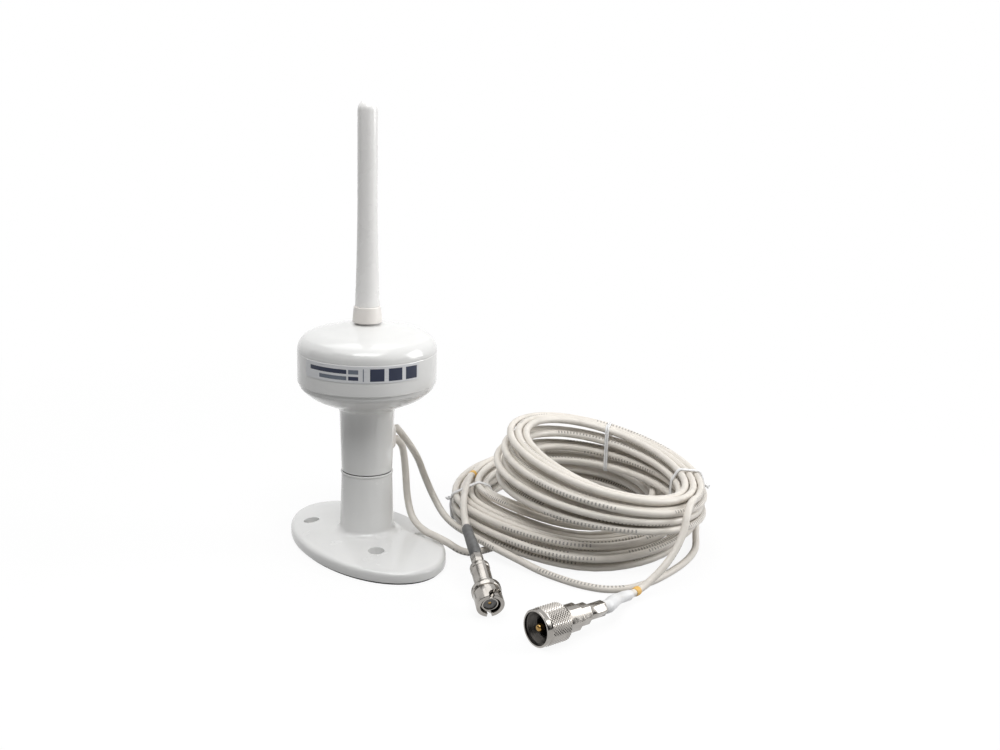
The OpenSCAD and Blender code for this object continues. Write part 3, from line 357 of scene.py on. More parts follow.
def white_world():
    """White where it is seen, and a weaker light on the object."""
    world = bpy.data.worlds.new("studio")
    bpy.context.scene.world = world
    net = Net(world)
    sky = net.nodes["Background"]
    net.feed(sky.inputs["Color"], grey(1))
    net.feed(sky.inputs["Strength"], net.between(seen_share(net), SKY_LIGHT, 1, 0, 1))


def plane(name, size):
    deselect()
    bpy.ops.mesh.primitive_plane_add(size=size)
    bpy.context.object.name = name
    return bpy.context.object


def white_floor():
    """A floor that is seen as white with a faint shadow, and that throws back less light."""
    floor = plane("floor", 2 * FLOOR_HALF)
    net = Net(bpy.data.materials.new("floor_paper"))
    net.nodes.remove(net.nodes["Principled BSDF"])
    dull, paper = [net.add("BsdfDiffuse", [("Color", grey(level))]).outputs[0]
                   for level in (FLOOR_TONE, 1)]
    white = net.add("Emission", [("Strength", FLOOR_WHITE)]).outputs[0]
    far = net.add("VectorMath", [(0, net.place())], operation="LENGTH").outputs["Value"]
    fade = net.between(far, FLOOR_SHADOW_SHARE, 0, *FLOOR_FADE, interpolation_type="SMOOTHSTEP")
    seen = net.mixed(fade, white, paper)
    net.feed(net.nodes["Material Output"].inputs["Surface"],
             net.mixed(seen_share(net), dull, seen))
    floor.data.materials.append(net.owner)


def lamps_and_cards():
    for name, place, target, width, height, watts in LAMPS:
        lamp = bpy.data.objects.new(name, bpy.data.lights.new(name, "AREA"))
        bpy.context.collection.objects.link(lamp)
        lamp.data.shape, lamp.data.size, lamp.data.size_y = "RECTANGLE", width, height
        lamp.data.energy = watts
        aim(lamp, place, target)
    dark = Net(bpy.data.materials.new("card_black"))
    dark.shade("Base Color", grey(CARD_TONE))
    dark.shade("Roughness", CARD_ROUGH)
    for name, place, target, width, height in CARDS:
        card = plane(name, 1)
        card.scale = (width, height, 1)
        aim(card, place, target)
        card.visible_camera = False
        card.data.materials.append(dark.owner)


# ---------------------------------------------------------------- ways of making a piece

MERGE = 0.002  # corners closer than this become one, in mm
SOFT_MERGE, SOFT_STEPS = 0.06, 3  # the same on edges that are rounded, and the faces of a rounding
UV_LENGTH = 100  # mm along a tube for each 1 of its UV


def deselect():
    bpy.ops.object.select_all(action="DESELECT")


def take(piece):
    deselect()
    piece.select_set(True)
    bpy.context.view_layer.objects.active = piece


def edit(piece):
    """Opens a piece for editing with nothing on it selected."""
    take(piece)
    bpy.ops.object.mode_set(mode="EDIT")
    bpy.ops.mesh.select_all(action="DESELECT")


def pick(piece, kind, wanted):
    """Selects the corners, edges or faces whose middle, in mm, and way are wanted."""
    bpy.ops.mesh.select_mode(type=kind)
    bm = bmesh.from_edit_mesh(piece.data)
    bm.normal_update()
    if kind == "VERT":
        marks = [(v, v.co / MM, v.normal) for v in bm.verts]
    elif kind == "EDGE":
        marks = [(e, (e.verts[0].co + e.verts[1].co) / 2 / MM,
                  (e.verts[1].co - e.verts[0].co).normalized()) for e in bm.edges]
    else:
        marks = [(f, f.calc_center_median() / MM, f.normal) for f in bm.faces]
    for item, middle, way in marks:
        item.select_set(bool(wanted(middle, way)))
    bm.select_flush_mode()
    bmesh.update_edit_mesh(piece.data)


def close_edit():
    """Merges what meets, turns all faces outwards and closes the edit."""
    bpy.ops.mesh.select_mode(type="VERT")
    bpy.ops.mesh.select_all(action="SELECT")
    bpy.ops.mesh.remove_doubles(threshold=MERGE * MM)
    bpy.ops.mesh.normals_make_consistent(inside=False)
    bpy.ops.object.mode_set(mode="OBJECT")


def settle(piece):
    """Puts the piece's place, turn and size into its mesh."""
    take(piece)
    bpy.ops.object.transform_apply(location=True, rotation=True, scale=True)


def lay(piece, turns, at=(0, 0, 0)):
    """Turns a piece by degrees about the axes and moves it to a place in mm, in its mesh."""
    piece.rotation_euler = [math.radians(t) for t in turns]
    piece.location = [v * MM for v in at]
    settle(piece)
    return piece


def smooth(piece, angle):
    take(piece)
    bpy.ops.object.shade_smooth_by_angle(angle=math.radians(angle))


def eased(points, steps=4):
    """A profile with rounded corners. A point is radius, height and, if rounded, its rounding."""
    line = []
    for i, point in enumerate(points):
        p = Vector(point[:2])
        if len(point) < 3:
            line.append(tuple(p))
            continue
        a, b = Vector(points[i - 1][:2]) - p, Vector(points[(i + 1) % len(points)][:2]) - p
        a, b = a.normalized(), b.normalized()
        half = a.angle(b) / 2
        centre = p + (a + b).normalized() * (point[2] / math.sin(half))
        first, last = [p + w * (point[2] / math.tan(half)) - centre for w in (a, b)]
        for k in range(steps + 1):
            line.append(tuple(centre + first.lerp(last, k / steps).normalized() * point[2]))
    return line


def turned(name, rings, sides, hollow=False):
    """A piece turned from a profile of radius and height. A hollow one's comes back round."""
    deselect()
    rings = [(r if isinstance(r, tuple) else (r, r), z) for r, z in rings]
    if hollow:
        rings.append(rings[0])
    (a, b), z = rings[0]
    bpy.ops.mesh.primitive_circle_add(
        vertices=sides, radius=a * MM, fill_type="NOTHING" if hollow else "NGON",
        location=(0, 0, z * MM), enter_editmode=True)
    piece = bpy.context.object
    piece.name = name
    bpy.ops.transform.resize(value=(1, b / a, 1))
    for (a1, b1), z1 in rings[1:]:
        bpy.ops.mesh.extrude_region_move(TRANSFORM_OT_translate={"value": (0, 0, (z1 - z) * MM)})
        bpy.ops.transform.resize(value=(a1 / a, b1 / b, 1))
        a, b, z = a1, b1, z1
    close_edit()
    settle(piece)
    return piece


def plate(name, outline, low, high):
    """A flat piece: a disc whose rim is moved to the outline and then drawn up."""
    deselect()
    bpy.ops.mesh.primitive_circle_add(vertices=len(outline), radius=MM, fill_type="NGON",
                                      location=(0, 0, low * MM))
    piece = bpy.context.object
    piece.name = name
    settle(piece)
    for corner, (x, y) in zip(piece.data.vertices, outline):
        corner.co = (x * MM, y * MM, low * MM)
    edit(piece)
    bpy.ops.mesh.select_all(action="SELECT")
    bpy.ops.mesh.extrude_region_move(TRANSFORM_OT_translate={"value": (0, 0, (high - low) * MM)})
    close_edit()
    return piece


def cut(piece, tool):
    """Cuts a piece with another, which is used up."""
    change = piece.modifiers.new("cut", "BOOLEAN")
    change.solver, change.operation, change.object = "EXACT", "DIFFERENCE", tool
    take(piece)
    bpy.ops.object.modifier_apply(modifier=change.name)
    bpy.data.objects.remove(tool)


def soften(piece, wanted, width):
    """Rounds the edges that are wanted, after the small ones among them are merged."""
    edit(piece)
    pick(piece, "EDGE", wanted)
    bpy.ops.mesh.remove_doubles(threshold=SOFT_MERGE * MM)
    pick(piece, "EDGE", wanted)
    bpy.ops.mesh.bevel(offset=width * MM, segments=SOFT_STEPS, affect="EDGES", clamp_overlap=True)
    close_edit()


def tube(name, bm, rings):
    """Closes the ends of the tube that runs through the rings, and makes it a piece."""
    bm.faces.new(list(reversed(rings[0])))
    bm.faces.new(rings[-1])
    bmesh.ops.recalc_face_normals(bm, faces=bm.faces)
    mesh = bpy.data.meshes.new(name)
    bm.to_mesh(mesh)
    bm.free()
    piece = bpy.data.objects.new(name, mesh)
    bpy.context.collection.objects.link(piece)
    return piece


def sweep(name, line, radius, sides):
    """A tube along points in mm, with length and girth as its UV. A list of radii goes with them."""
    bm = bmesh.new()
    uv = bm.loops.layers.uv.new("UVMap")
    n = len(line)
    radii = radius if isinstance(radius, list) else [radius] * n
    ways = [(line[min(i + 1, n - 1)] - line[max(i - 1, 0)]).normalized() for i in range(n)]
    side = ways[0].cross(Vector((0.1, 0.2, 1))).normalized()
    rings, reach = [], [0.0]
    for i, (p, w) in enumerate(zip(line, ways)):
        side = (side - side.dot(w) * w).normalized()
        other = w.cross(side)
        spokes = [(math.cos(math.tau * j / sides), math.sin(math.tau * j / sides))
                  for j in range(sides)]
        rings.append([bm.verts.new((p + radii[i] * (c * side + s * other)) * MM)
                      for c, s in spokes])
        if i:
            reach.append(reach[-1] + (p - line[i - 1]).length / UV_LENGTH)
    for i, (a, b) in enumerate(zip(rings, rings[1:])):
        for j in range(sides):
            k = (j + 1) % sides
            face = bm.faces.new((a[j], a[k], b[k], b[j]))
            spots = ((reach[i], j), (reach[i], j + 1), (reach[i + 1], j + 1), (reach[i + 1], j))
            for loop, (far, around) in zip(face.loops, spots):
                loop[uv].uv = (far, around / sides)
            face.smooth = True
    return tube(name, bm, rings)


# ---------------------------------------------------------------- finishes

# Ticks on a jacket: ticks and groups to 1 of the UV's length, the inked share of each, how far
# their strip wanders round in that length, and half its width, both as shares of the girth
TICKS, TICK_SHARE, GROUPS, GROUP_SHARE, WANDER, STRIP_HALF = 52, 0.42, 1.25, 0.62, 0.21, 0.07
WINDING_LOW_H, WINDING_PITCH, WINDING_DEPTH, WINDING_SHARE = 145, 43, 0.06, 0.022


def tone(red, green, blue):
    """A colour as it looks on a screen, 0 to 255, as the shader takes it."""
    return tuple((c / 255 / 12.92) if c <= 10 else ((c / 255 + 0.055) / 1.055) ** 2.4
                 for c in (red, green, blue)) + (1,)


def finish(name, one, other, rough, drift=35, rough_size=12, grain=0.9, depth=0.008, stretch=None,
           metallic=0.0, coat=0.0, coat_rough=0.1):
    """A finish between two tones, with its own drift of gloss and its grain. Sizes are in mm."""
    net = Net(bpy.data.materials.new(name))
    place = net.place()
    share = net.between(net.cloud(place, drift), 0, 1)
    net.shade("Base Color", net.blended(share, tone(*one), tone(*other)))
    net.shade("Roughness", net.between(net.cloud(place, rough_size, 4, stretch), *rough))
    net.relief(net.cloud(place, grain, 2, stretch), depth)
    net.shade("Metallic", metallic)
    if coat:
        net.shade("Coat Weight", coat)
        net.shade("Coat Roughness", coat_rough)
    return net.owner


def jacket_finish():
    """The leads' jacket: cream, a little dirty, drawn lengthwise, with plain ticks in groups."""
    net = Net(bpy.data.materials.new("cream_jacket"))
    uv = net.add("UVMap").outputs["UV"]
    place = net.place()
    share = net.between(net.noise(uv, 1.6, 3, (0.35, 0.6, 1)), 0, 1)
    jacket = net.blended(share, tone(233, 228, 220), tone(222, 216, 207))
    dirt = net.between(net.cloud(place, 9, 5), 0, 0.35, 0.52, 0.75)
    jacket = net.blended(dirt, jacket, tone(190, 184, 175))
    parts = net.add("SeparateXYZ", [("Vector", uv)]).outputs
    along, around = parts["X"], parts["Y"]
    tick, group = [net.math("LESS_THAN", net.math("FRACT", net.math("MULTIPLY", along, rate)), wide)
                   for rate, wide in ((TICKS, TICK_SHARE), (GROUPS, GROUP_SHARE))]
    wander = net.math("FRACT", net.math("ADD", around, net.math("MULTIPLY", along, WANDER)))
    off = net.math("ABSOLUTE", net.math("SUBTRACT", wander, 0.5))
    strip = net.math("LESS_THAN", off, STRIP_HALF)
    ink = net.math("MULTIPLY", net.math("MULTIPLY", tick, group), strip)
    worn = net.between(net.cloud(place, 0.5, 2), 0.25, 0.85)
    jacket = net.blended(net.math("MULTIPLY", ink, worn), jacket, tone(84, 82, 82))
    net.shade("Base Color", jacket)
    net.shade("Roughness", net.between(net.cloud(place, 5, 3), 0.34, 0.52))
    net.relief(net.noise(uv, 1, 2, (1.5, 26, 1)), 0.05, 0.7)
    return net.owner


def sheath_finish():
    """The whip's white sheath, on which the winding inside shows as one faint spiral."""
    # The sheath's tones are paler than the other white plastic: partly its own paler white, partly
    # painted light for the stronger light that the whip gets above the head's shade.
    net = Net(finish("whip_sheath_white", (252, 251, 249), (248, 247, 245), (0.22, 0.34), coat=0.2))
    parts = net.add("SeparateXYZ", [("Vector", net.place())]).outputs
    turn = net.math("DIVIDE", net.math("ARCTAN2", parts["Y"], parts["X"]), math.tau)
    climb = net.math("DIVIDE", net.math("SUBTRACT", parts["Z"], WINDING_LOW_H * MM),
                     WINDING_PITCH * MM)
    lap = net.math("FRACT", net.math("SUBTRACT", climb, turn))
    off = net.math("ABSOLUTE", net.math("SUBTRACT", lap, 0.5))
    grain = net.nodes["Bump"].outputs["Normal"]
    net.relief(net.between(off, 1, 0, 0.0, WINDING_SHARE), WINDING_DEPTH, before=grain)
    return net.owner


WHITE_PLASTIC = finish("glossy_white_plastic", (237, 237, 235), (231, 231, 230), (0.1, 0.2),
                       drift=60, grain=1.6, depth=0.006, coat=0.35, coat_rough=0.06)
BASE_PLASTIC = finish("base_white_plastic", (239, 239, 237), (233, 233, 232), (0.16, 0.28),
                      drift=45, grain=1.2, coat=0.25, coat_rough=0.12)
COLLAR_PLASTIC = finish("collar_grey_white", (244, 240, 235), (238, 233, 228), (0.3, 0.42),
                        drift=20, grain=0.5)
GROMMET_GREY = finish("grommet_grey", (205, 204, 202), (190, 189, 188), (0.4, 0.55), drift=15,
                      grain=0.4)
SEAL_RUBBER = finish("seal_rubber_black", (48, 48, 50), (38, 38, 40), (0.6, 0.8), drift=8,
                     grain=0.3, depth=0.02)
LABEL_FILM = finish("label_silver_film", (226, 227, 229), (218, 219, 222), (0.26, 0.36), drift=25,
                    grain=0.4, stretch=(1, 1, 6), metallic=0.05)
NAVY_INK = finish("label_navy_ink", (34, 44, 70), (28, 37, 60), (0.35, 0.5), drift=12, grain=0.4)
GREY_INK = finish("label_grey_ink", (112, 120, 132), (102, 110, 122), (0.35, 0.5), drift=12,
                  grain=0.4)
NICKEL = finish("polished_nickel", (172, 168, 163), (152, 148, 143), (0.1, 0.24), drift=6,
                rough_size=2.5, grain=0.5, depth=0.003, metallic=1)
# Darker nickel for the faces inside the plugs' mouths: painted shade, not a duller metal.
SHADED_NICKEL_INSIDE = finish("nickel_inside_painted_shade", (92, 89, 86), (74, 72, 69), (0.3, 0.45), drift=3,
                     rough_size=2, grain=0.3, depth=0.006, metallic=1)
# Gold darker than its own tone: painted shade for the pins, which sit unlit deep in the plugs'
# mouths.
SHADED_GOLD = finish("contact_gold_painted_shade", (178, 146, 92), (150, 118, 68), (0.16, 0.28), drift=3, grain=0.3,
              depth=0.003, metallic=1)
BRASS = finish("turned_brass", (200, 164, 92), (182, 146, 78), (0.22, 0.4), drift=8, grain=0.4,
               stretch=(1, 1, 8), metallic=1)
COPPER = finish("enamelled_copper", (196, 112, 72), (174, 92, 56), (0.22, 0.34), drift=5,
                grain=0.3, metallic=1)
PLATE_METAL = finish("tinned_sheet", (190, 191, 193), (176, 177, 180), (0.28, 0.5), drift=14,
                     grain=0.7, stretch=(1, 6, 1), metallic=1)
STEEL = finish("zinc_plated_steel", (186, 188, 192), (170, 172, 178), (0.24, 0.4), drift=4,
               grain=0.4, metallic=1)
BOARD_GREEN = finish("board_solder_mask", (28, 92, 58), (22, 80, 50), (0.28, 0.42), drift=5,
                     rough_size=4, grain=0.6, depth=0.02)
CERAMIC = finish("fired_ceramic", (196, 178, 148), (184, 164, 134), (0.4, 0.6), drift=5, grain=0.4,
                 depth=0.02)
INSULATOR = finish("insulator_ptfe", (226, 222, 212), (214, 210, 200), (0.35, 0.5), drift=5,
                   grain=0.4)
DARK_INSULATOR = finish("insulator_grey", (150, 149, 148), (136, 135, 134), (0.3, 0.45), drift=3,
                        grain=0.3)
# Dark brown insulator deep in the screw plug; its darkness also paints the shade deep in the plug's
# mouth.
SHADED_BROWN_INSULATOR = finish("insulator_dark_brown", (66, 60, 56), (54, 49, 46), (0.35, 0.5), drift=3,
                  grain=0.3)
RED_RUBBER = finish("silicone_red", (168, 66, 46), (150, 54, 36), (0.45, 0.6), drift=3, grain=0.3)
GLASS_FIBRE = finish("pultruded_rod", (206, 200, 172), (190, 184, 156), (0.35, 0.5), drift=8,
                     grain=0.3, stretch=(6, 6, 1), depth=0.02)
MARKER_YELLOW = finish("marker_yellow", (240, 196, 110), (228, 178, 88), (0.4, 0.55), drift=3,
                       grain=0.3, depth=0.02)
GREY_SLEEVE = finish("shrunk_grey_sleeve", (98, 98, 98), (84, 84, 84), (0.38, 0.55), drift=6,
                     rough_size=3, grain=0.5, depth=0.05)
WHITE_SLEEVE = finish("shrunk_white_sleeve", (238, 238, 238), (228, 229, 230), (0.28, 0.44),
                      drift=8, rough_size=4, grain=1.2, depth=0.05, coat=0.1)
TIE_WHITE = finish("tie_wire_white", (244, 244, 244), (236, 237, 238), (0.25, 0.4), drift=5,
                   grain=0.3, depth=0.01)
JACKET = jacket_finish()


def dress(piece, material, body, slot, *nodes):
    """Gives a piece its finish and the body it rides on, and hides the nodes it stands for. Its slot
    is not used.
    """
    piece.data.materials.clear()
    piece.data.materials.append(material)
    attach(piece, body)
    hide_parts(*nodes)
    return piece


make_camera()
white_world()
white_floor()
lamps_and_cards()


# ---------------------------------------------------------------- the leads

CORD_SIDES, SLEEVE_SIDES, MARKER_SIDES = 14, 28, 24
SLEEVE_STEP, MARKER_STEP = 0.8, 0.25
SLEEVE_T, SLEEVE_LEAST_T, SLEEVE_END_POINTS = 0.75, 0.08, 2.5
CRIMP_SHARE, DRAW_SHARE = 0.3, 0.4  # a sleeve's share on the crimp, and the one where it narrows
MARKER_EDGE_T, MARKER_T = 0.08, 0.37

gps_cord = sweep("positioning_lead", gps_line, CORD_R, CORD_SIDES)
vhf_cord = sweep("radio_lead", vhf_line, CORD_R, CORD_SIDES)
dress(gps_cord, JACKET, BODY, "cord_jacket", "gps_run", "gps_coil", "gps_tail")
dress(vhf_cord, JACKET, BODY, "cord_jacket", "vhf_run", "vhf_coil", "vhf_tail")


def inner_lead(name, places, exit_h, node):
    """The stretch of a lead inside the head and the column, from the board to the grommet."""
    out, leave = bearing(EXIT_TURN), exit_point(exit_h)
    lift = Vector((0, 0, BOARD_H))
    line = spline([Vector(p) + lift for p in places] + [leave - 2 * CORD_D * out])
    line += [leave - CORD_D * out, leave]
    dress(sweep(name, line, CORD_R, CORD_SIDES), JACKET, BODY, "cord_jacket", node)


inner_lead("positioning_lead_inside", GPS_LEAD_PLACES, GPS_EXIT_H, "gps_lead")
inner_lead("radio_lead_inside", VHF_LEAD_PLACES, VHF_EXIT_H, "vhf_lead")


def shrunk_sleeve(name, line, length, thick, lumps, material, slot, node):
    """A shrunk sleeve: round over the crimp, drawn in unevenly on the jacket, with thin ends."""
    path = finer(line[::-1], SLEEVE_STEP)[:int(length / SLEEVE_STEP) + 1]
    n, radii = len(path), []
    for i in range(n):
        t = i / (n - 1)
        r = thick + (CORD_R + SLEEVE_T - thick) * smooth01((t - CRIMP_SHARE) / DRAW_SHARE)
        r += lumps * (math.sin(9.1 * t + 0.6) * 0.6 + math.sin(23 * t + 2) * 0.4)
        start, end = t * n / SLEEVE_END_POINTS, (t - 1) * n / SLEEVE_END_POINTS + 1
        r -= 0.45 * (1 - smooth01(start)) + 0.5 * smooth01(end)
        radii.append(max(r, CORD_R + SLEEVE_LEAST_T))
    dress(sweep(name, path, radii, SLEEVE_SIDES), material, BODY, slot, node)


shrunk_sleeve("positioning_lead_sleeve", gps_line, 30, 3.0, 0.05, GREY_SLEEVE, "grey_sleeve",
              "gps_sleeve")
shrunk_sleeve("radio_lead_sleeve", vhf_line, 34, 3.3, 0.09, WHITE_SLEEVE, "white_sleeve",
              "vhf_sleeve")


def marker(name, line, first, length, node):
    """A band round a lead, from a distance along it on, thinner at its edges."""
    i, n = round(first / MARKER_STEP), round(length / MARKER_STEP) + 1
    radii = [CORD_R + MARKER_EDGE_T + MARKER_T * math.sin(math.pi * (k / (n - 1))) ** 0.35
             for k in range(n)]
    band = sweep(name, finer(line, MARKER_STEP)[i:i + n], radii, MARKER_SIDES)
    dress(band, MARKER_YELLOW, BODY, "marker_yellow", node)


# ---------------------------------------------------------------- base and columns

BASE_BORE_R, EDGE_ROUND, EDGE_RISE, TOP_RISE = 10.3, 3, 2.55, 2.9
FOOT_ROUND, COLUMN_FOOT_R = 4.2, 14.1
HOLE_SOFT, RIDGE_SOFT = 0.35, 0.7
# The edge of the recess in the base's top, and how it goes on outside the base
RIDGE_PLACES = [(9, 15.5), (13.5, 11), (15.8, 3), (18.5, -3), (25, -7.6), (32.6, -12.2),
                (37, -17.6), (50, -34)]
RECESS_OUTSIDE = [(74, 0), (40, 62), (4, 62), (4, 30)]
TOOL_TOP_H = 14


def base_rings():
    a, b = BASE_L / 2, BASE_W / 2
    rings = [(BASE_BORE_R, GASKET_T), ((a - 0.5, b - 0.5), GASKET_T), ((a - 0.1, b - 0.1), 1.2),
             ((a, b), 1.6), ((a, b), BASE_EDGE_H)]
    for turn in (15, 30, 45, 60, 75):
        c, s = cos_sin(turn)
        inset = EDGE_ROUND * (1 - c)
        rings.append(((a - inset, b - inset), BASE_EDGE_H + EDGE_RISE * s))
    a, b = a - EDGE_ROUND, b - EDGE_ROUND
    for t in (0.03, 0.1, 0.2, 0.35, 0.5, 0.65, 0.8, 0.92):
        rise = BASE_TOP_H - 0.1 + TOP_RISE * (1 - (1 - t) ** 1.6)
        rings.append(((a + (FOOT_R - a) * t, b + (FOOT_R - b) * t), rise))
    for turn in range(0, 91, 15):
        c, s = cos_sin(turn)
        rings.append((COLUMN_FOOT_R + FOOT_ROUND * (1 - s), BASE_CROWN_H + FOOT_ROUND * (1 - c)))
    rings += [(13.7, 28), (13.31, 41.8), (13.5, 41.95), (13.7, 42.15), (13.75, 42.45),
              (13.65, 42.8), (13.3, JOINT_H), (10.2, JOINT_H), (10.2, 52), (7.8, 52), (7.8, 40)]
    return rings + [(BASE_BORE_R, 37.6)]


pedestal = lay(turned("pedestal_base", base_rings(), 160, hollow=True), (0, 0, BASE_TURN))
ridge = spline(RIDGE_PLACES)
ridge_fine = finer([Vector((p.x, p.y, 0)) for p in ridge], 0.1)
recess = plate("recess_tool", [tuple(p) for p in ridge] + RECESS_OUTSIDE, RECESS_FLOOR_H,
               TOOL_TOP_H)
cut(recess, turned("foot_tool", [(19.0, 4), (18.8, BASE_TOP_H), (18.32, BASE_CROWN_H),
                                 (FOOT_R, 16)], 96))
cut(pedestal, recess)
c, s = cos_sin(BASE_TURN)
holes = [(x * c - y * s, x * s + y * c) for x, y in HOLE_SPOTS]
for x, y in holes:
    tool = turned("screw_hole_tool", [
        (SCREW_HOLE_D / 2, -1), (SCREW_HOLE_D / 2, COUNTERBORE_FLOOR_H),
        (COUNTERBORE_D / 2, COUNTERBORE_FLOOR_H + 0.02), (COUNTERBORE_D / 2, TOOL_TOP_H)], 48)
    cut(pedestal, lay(tool, (0, 0, 0), (x, y, 0)))
soften(pedestal, lambda p, way: p.z > RECESS_FLOOR_H + 0.4 and abs(way.z) < 0.7
       and min(math.hypot(p.x - q.x, p.y - q.y) for q in ridge_fine) < 0.06, RIDGE_SOFT)
soften(pedestal, lambda p, way: p.z > 4.5 and abs(way.z) < 0.6 and any(
    abs(math.hypot(p.x - x, p.y - y) - COUNTERBORE_D / 2) < 0.05 for x, y in holes), HOLE_SOFT)
smooth(pedestal, 40)
dress(pedestal, BASE_PLASTIC, BODY, "white_plastic", "base_flange", "lower_column")


def upright_slab(name, radius, near, far):
    """A slab with round ends as tall as both leads' places, drawn out from the column."""
    half = (GPS_EXIT_H - VHF_EXIT_H) / 2
    outline = []
    for turn in list(range(0, 181, 12)) + list(range(180, 361, 12)):
        c, s = cos_sin(turn)
        outline.append((radius * c, (half if turn < 180 else -half) + radius * s))
    return plate(name, outline, near, far)


def lay_on_exit(piece):
    return lay(piece, (90, 0, 90 + EXIT_TURN), (0, 0, (GPS_EXIT_H + VHF_EXIT_H) / 2))


def column_and_underside():
    rings = eased([(10.3, 43.5), (13.3, 43.5, 0.3), (13.9, 62), (14.25, NECK_H)])
    rings += [tuple(p) for p in spline([
        (14.3, 75.1), (14.66, 76.3), (15.7, 77.7), (19.8, 79.65), (28, 83.4), (32.1, 86.45),
        (34.1, 88.4), (34.4, 89.2)])]
    return rings + [
        (34.7, 89.35), (34.8, 89.6), (34.8, 91.2), (34.6, BELT_LOW_H), (33.5, BELT_LOW_H),
        (33.5, 95.4), (32.4, 95.4), (32.4, 90.9), (28, 86.6), (19.8, 82.5), (11.25, 80.8),
        (11.05, NECK_H), (10.4, 53), (10.3, 53)]


column = turned("upper_pedestal", column_and_underside(), 144, hollow=True)
cut(column, lay_on_exit(upright_slab("grommet_hole_tool", 4.2, 8, 20)))
smooth(column, 28)
dress(column, WHITE_PLASTIC, BODY, "white_plastic", "upper_column", "lower_cover")


# ---------------------------------------------------------------- head

DOME_ROUND, CROWN_R, STUD_HOLE_R = 9, 9.1, 4.3
# Plain stripes and patches of the label: bearings from and to, heights from and to, and the ink
LABEL_STRIPES = [
    (-51, -16.5, 103.5, 105.7, 1), (-41, -16.5, 100.3, 102.3, 2), (-15, -7, 103.5, 105.7, 2),
    (-15, -7, 100.3, 102.3, 1), (-3.4, -2.6, 99.9, 106.3, 2), (2.2, 13.6, 99.9, 106.3, 1),
    (17.1, 28.7, 99.9, 106.3, 1), (32, 43, 99.9, 106.3, 1),
]
LABEL_FROM, LABEL_TO, LABEL_LOW, LABEL_HIGH = -57.5, 45, 99, 107.4
LABEL_ROUND, LABEL_T, LABEL_GAP, LABEL_STRIPS = 1.2, 0.25, 0.02, 64


def dome_line(inset):
    base, r = BELT_TOP_H - inset / 2, HEAD_R - inset
    knots = []
    for turn in (0, 15, 30, 45, 60):
        c, s = cos_sin(turn)
        knots.append((r - DOME_ROUND * (1 - c), base + DOME_ROUND * s))
    edge = (r - DOME_ROUND / 2, base + DOME_ROUND * cos_sin(60)[1])
    crown = (CROWN_R, CROWN_H - inset)
    for along, up in ((0.2, 0.31), (0.42, 0.52), (0.7, 0.78), (1, 1)):
        knots.append((edge[0] + (crown[0] - edge[0]) * along, edge[1] + (crown[1] - edge[1]) * up))
    return [tuple(p) for p in spline(knots)]


def head_rings():
    rings = [(33.6, BELT_LOW_H), (35.3, BELT_LOW_H), (35.65, 91.5), (35.9, 91.8), (HEAD_R, 92.3),
             (HEAD_R, 107.55), (35.9, 107.75), (35.88, 107.9), (35.95, 108.1)]
    rings += dome_line(0)[2:]
    rings += [(8.4, CROWN_H), (STUD_HOLE_R, CROWN_H), (STUD_HOLE_R, 114.2), (7, 114.2), (7, 119)]
    rings += [p for p in reversed(dome_line(WALL)) if p[0] > CROWN_R]
    return rings + [(33.6, 106.5)]


head = turned("head_cover", head_rings(), 144, hollow=True)
smooth(head, 25)
dress(head, WHITE_PLASTIC, BODY, "white_plastic", "upper_cover")


def label_band():
    """A film band with round corners, laid flat, cut into strips and wrapped round the belt."""
    mm_per_degree = math.radians(1) * HEAD_R
    a, b = LABEL_FROM * mm_per_degree, LABEL_TO * mm_per_degree
    corners = [(a, LABEL_LOW), (b, LABEL_LOW), (b, LABEL_HIGH), (a, LABEL_HIGH)]
    band = plate("label_band", eased([(*p, LABEL_ROUND) for p in corners], 5), 0, LABEL_T)
    edit(band)
    cuts = [(0, a + (b - a) * i / LABEL_STRIPS) for i in range(1, LABEL_STRIPS)]
    cuts += [(0, t * mm_per_degree) for t in sorted({t for row in LABEL_STRIPES for t in row[:2]})]
    cuts += [(1, h) for h in sorted({h for row in LABEL_STRIPES for h in row[2:4]})]
    for axis, at in cuts:
        place, way = [0, 0, 0], [0, 0, 0]
        place[axis], way[axis] = at * MM, 1
        bpy.ops.mesh.select_all(action="SELECT")
        bpy.ops.mesh.bisect(plane_co=place, plane_no=way)
    close_edit()
    for corner in band.data.vertices:
        x, h, out = corner.co
        t = x / (HEAD_R * MM)
        reach = (HEAD_R + LABEL_GAP) * MM + out
        corner.co = (math.sin(t) * reach, -math.cos(t) * reach, h)
    edit(band)
    close_edit()
    return band


label = dress(label_band(), LABEL_FILM, BODY, "label_film", "label")
label.data.materials.append(NAVY_INK)
label.data.materials.append(GREY_INK)
for face in label.data.polygons:
    middle = face.center / MM
    at = math.degrees(math.atan2(middle.x, -middle.y))
    outer = math.hypot(middle.x, middle.y) > HEAD_R + 0.2
    for start, end, low, high, ink in LABEL_STRIPES:
        if outer and start < at < end and low < middle.z < high:
            face.material_index = ink
smooth(label, 20)


# ---------------------------------------------------------------- whip

SHEATH_FOOT_R, TAPER, TAPER_L, SHEATH_BORE_R, SOCKET_R = 6.3, 1.2, 54, 3.6, 4.6


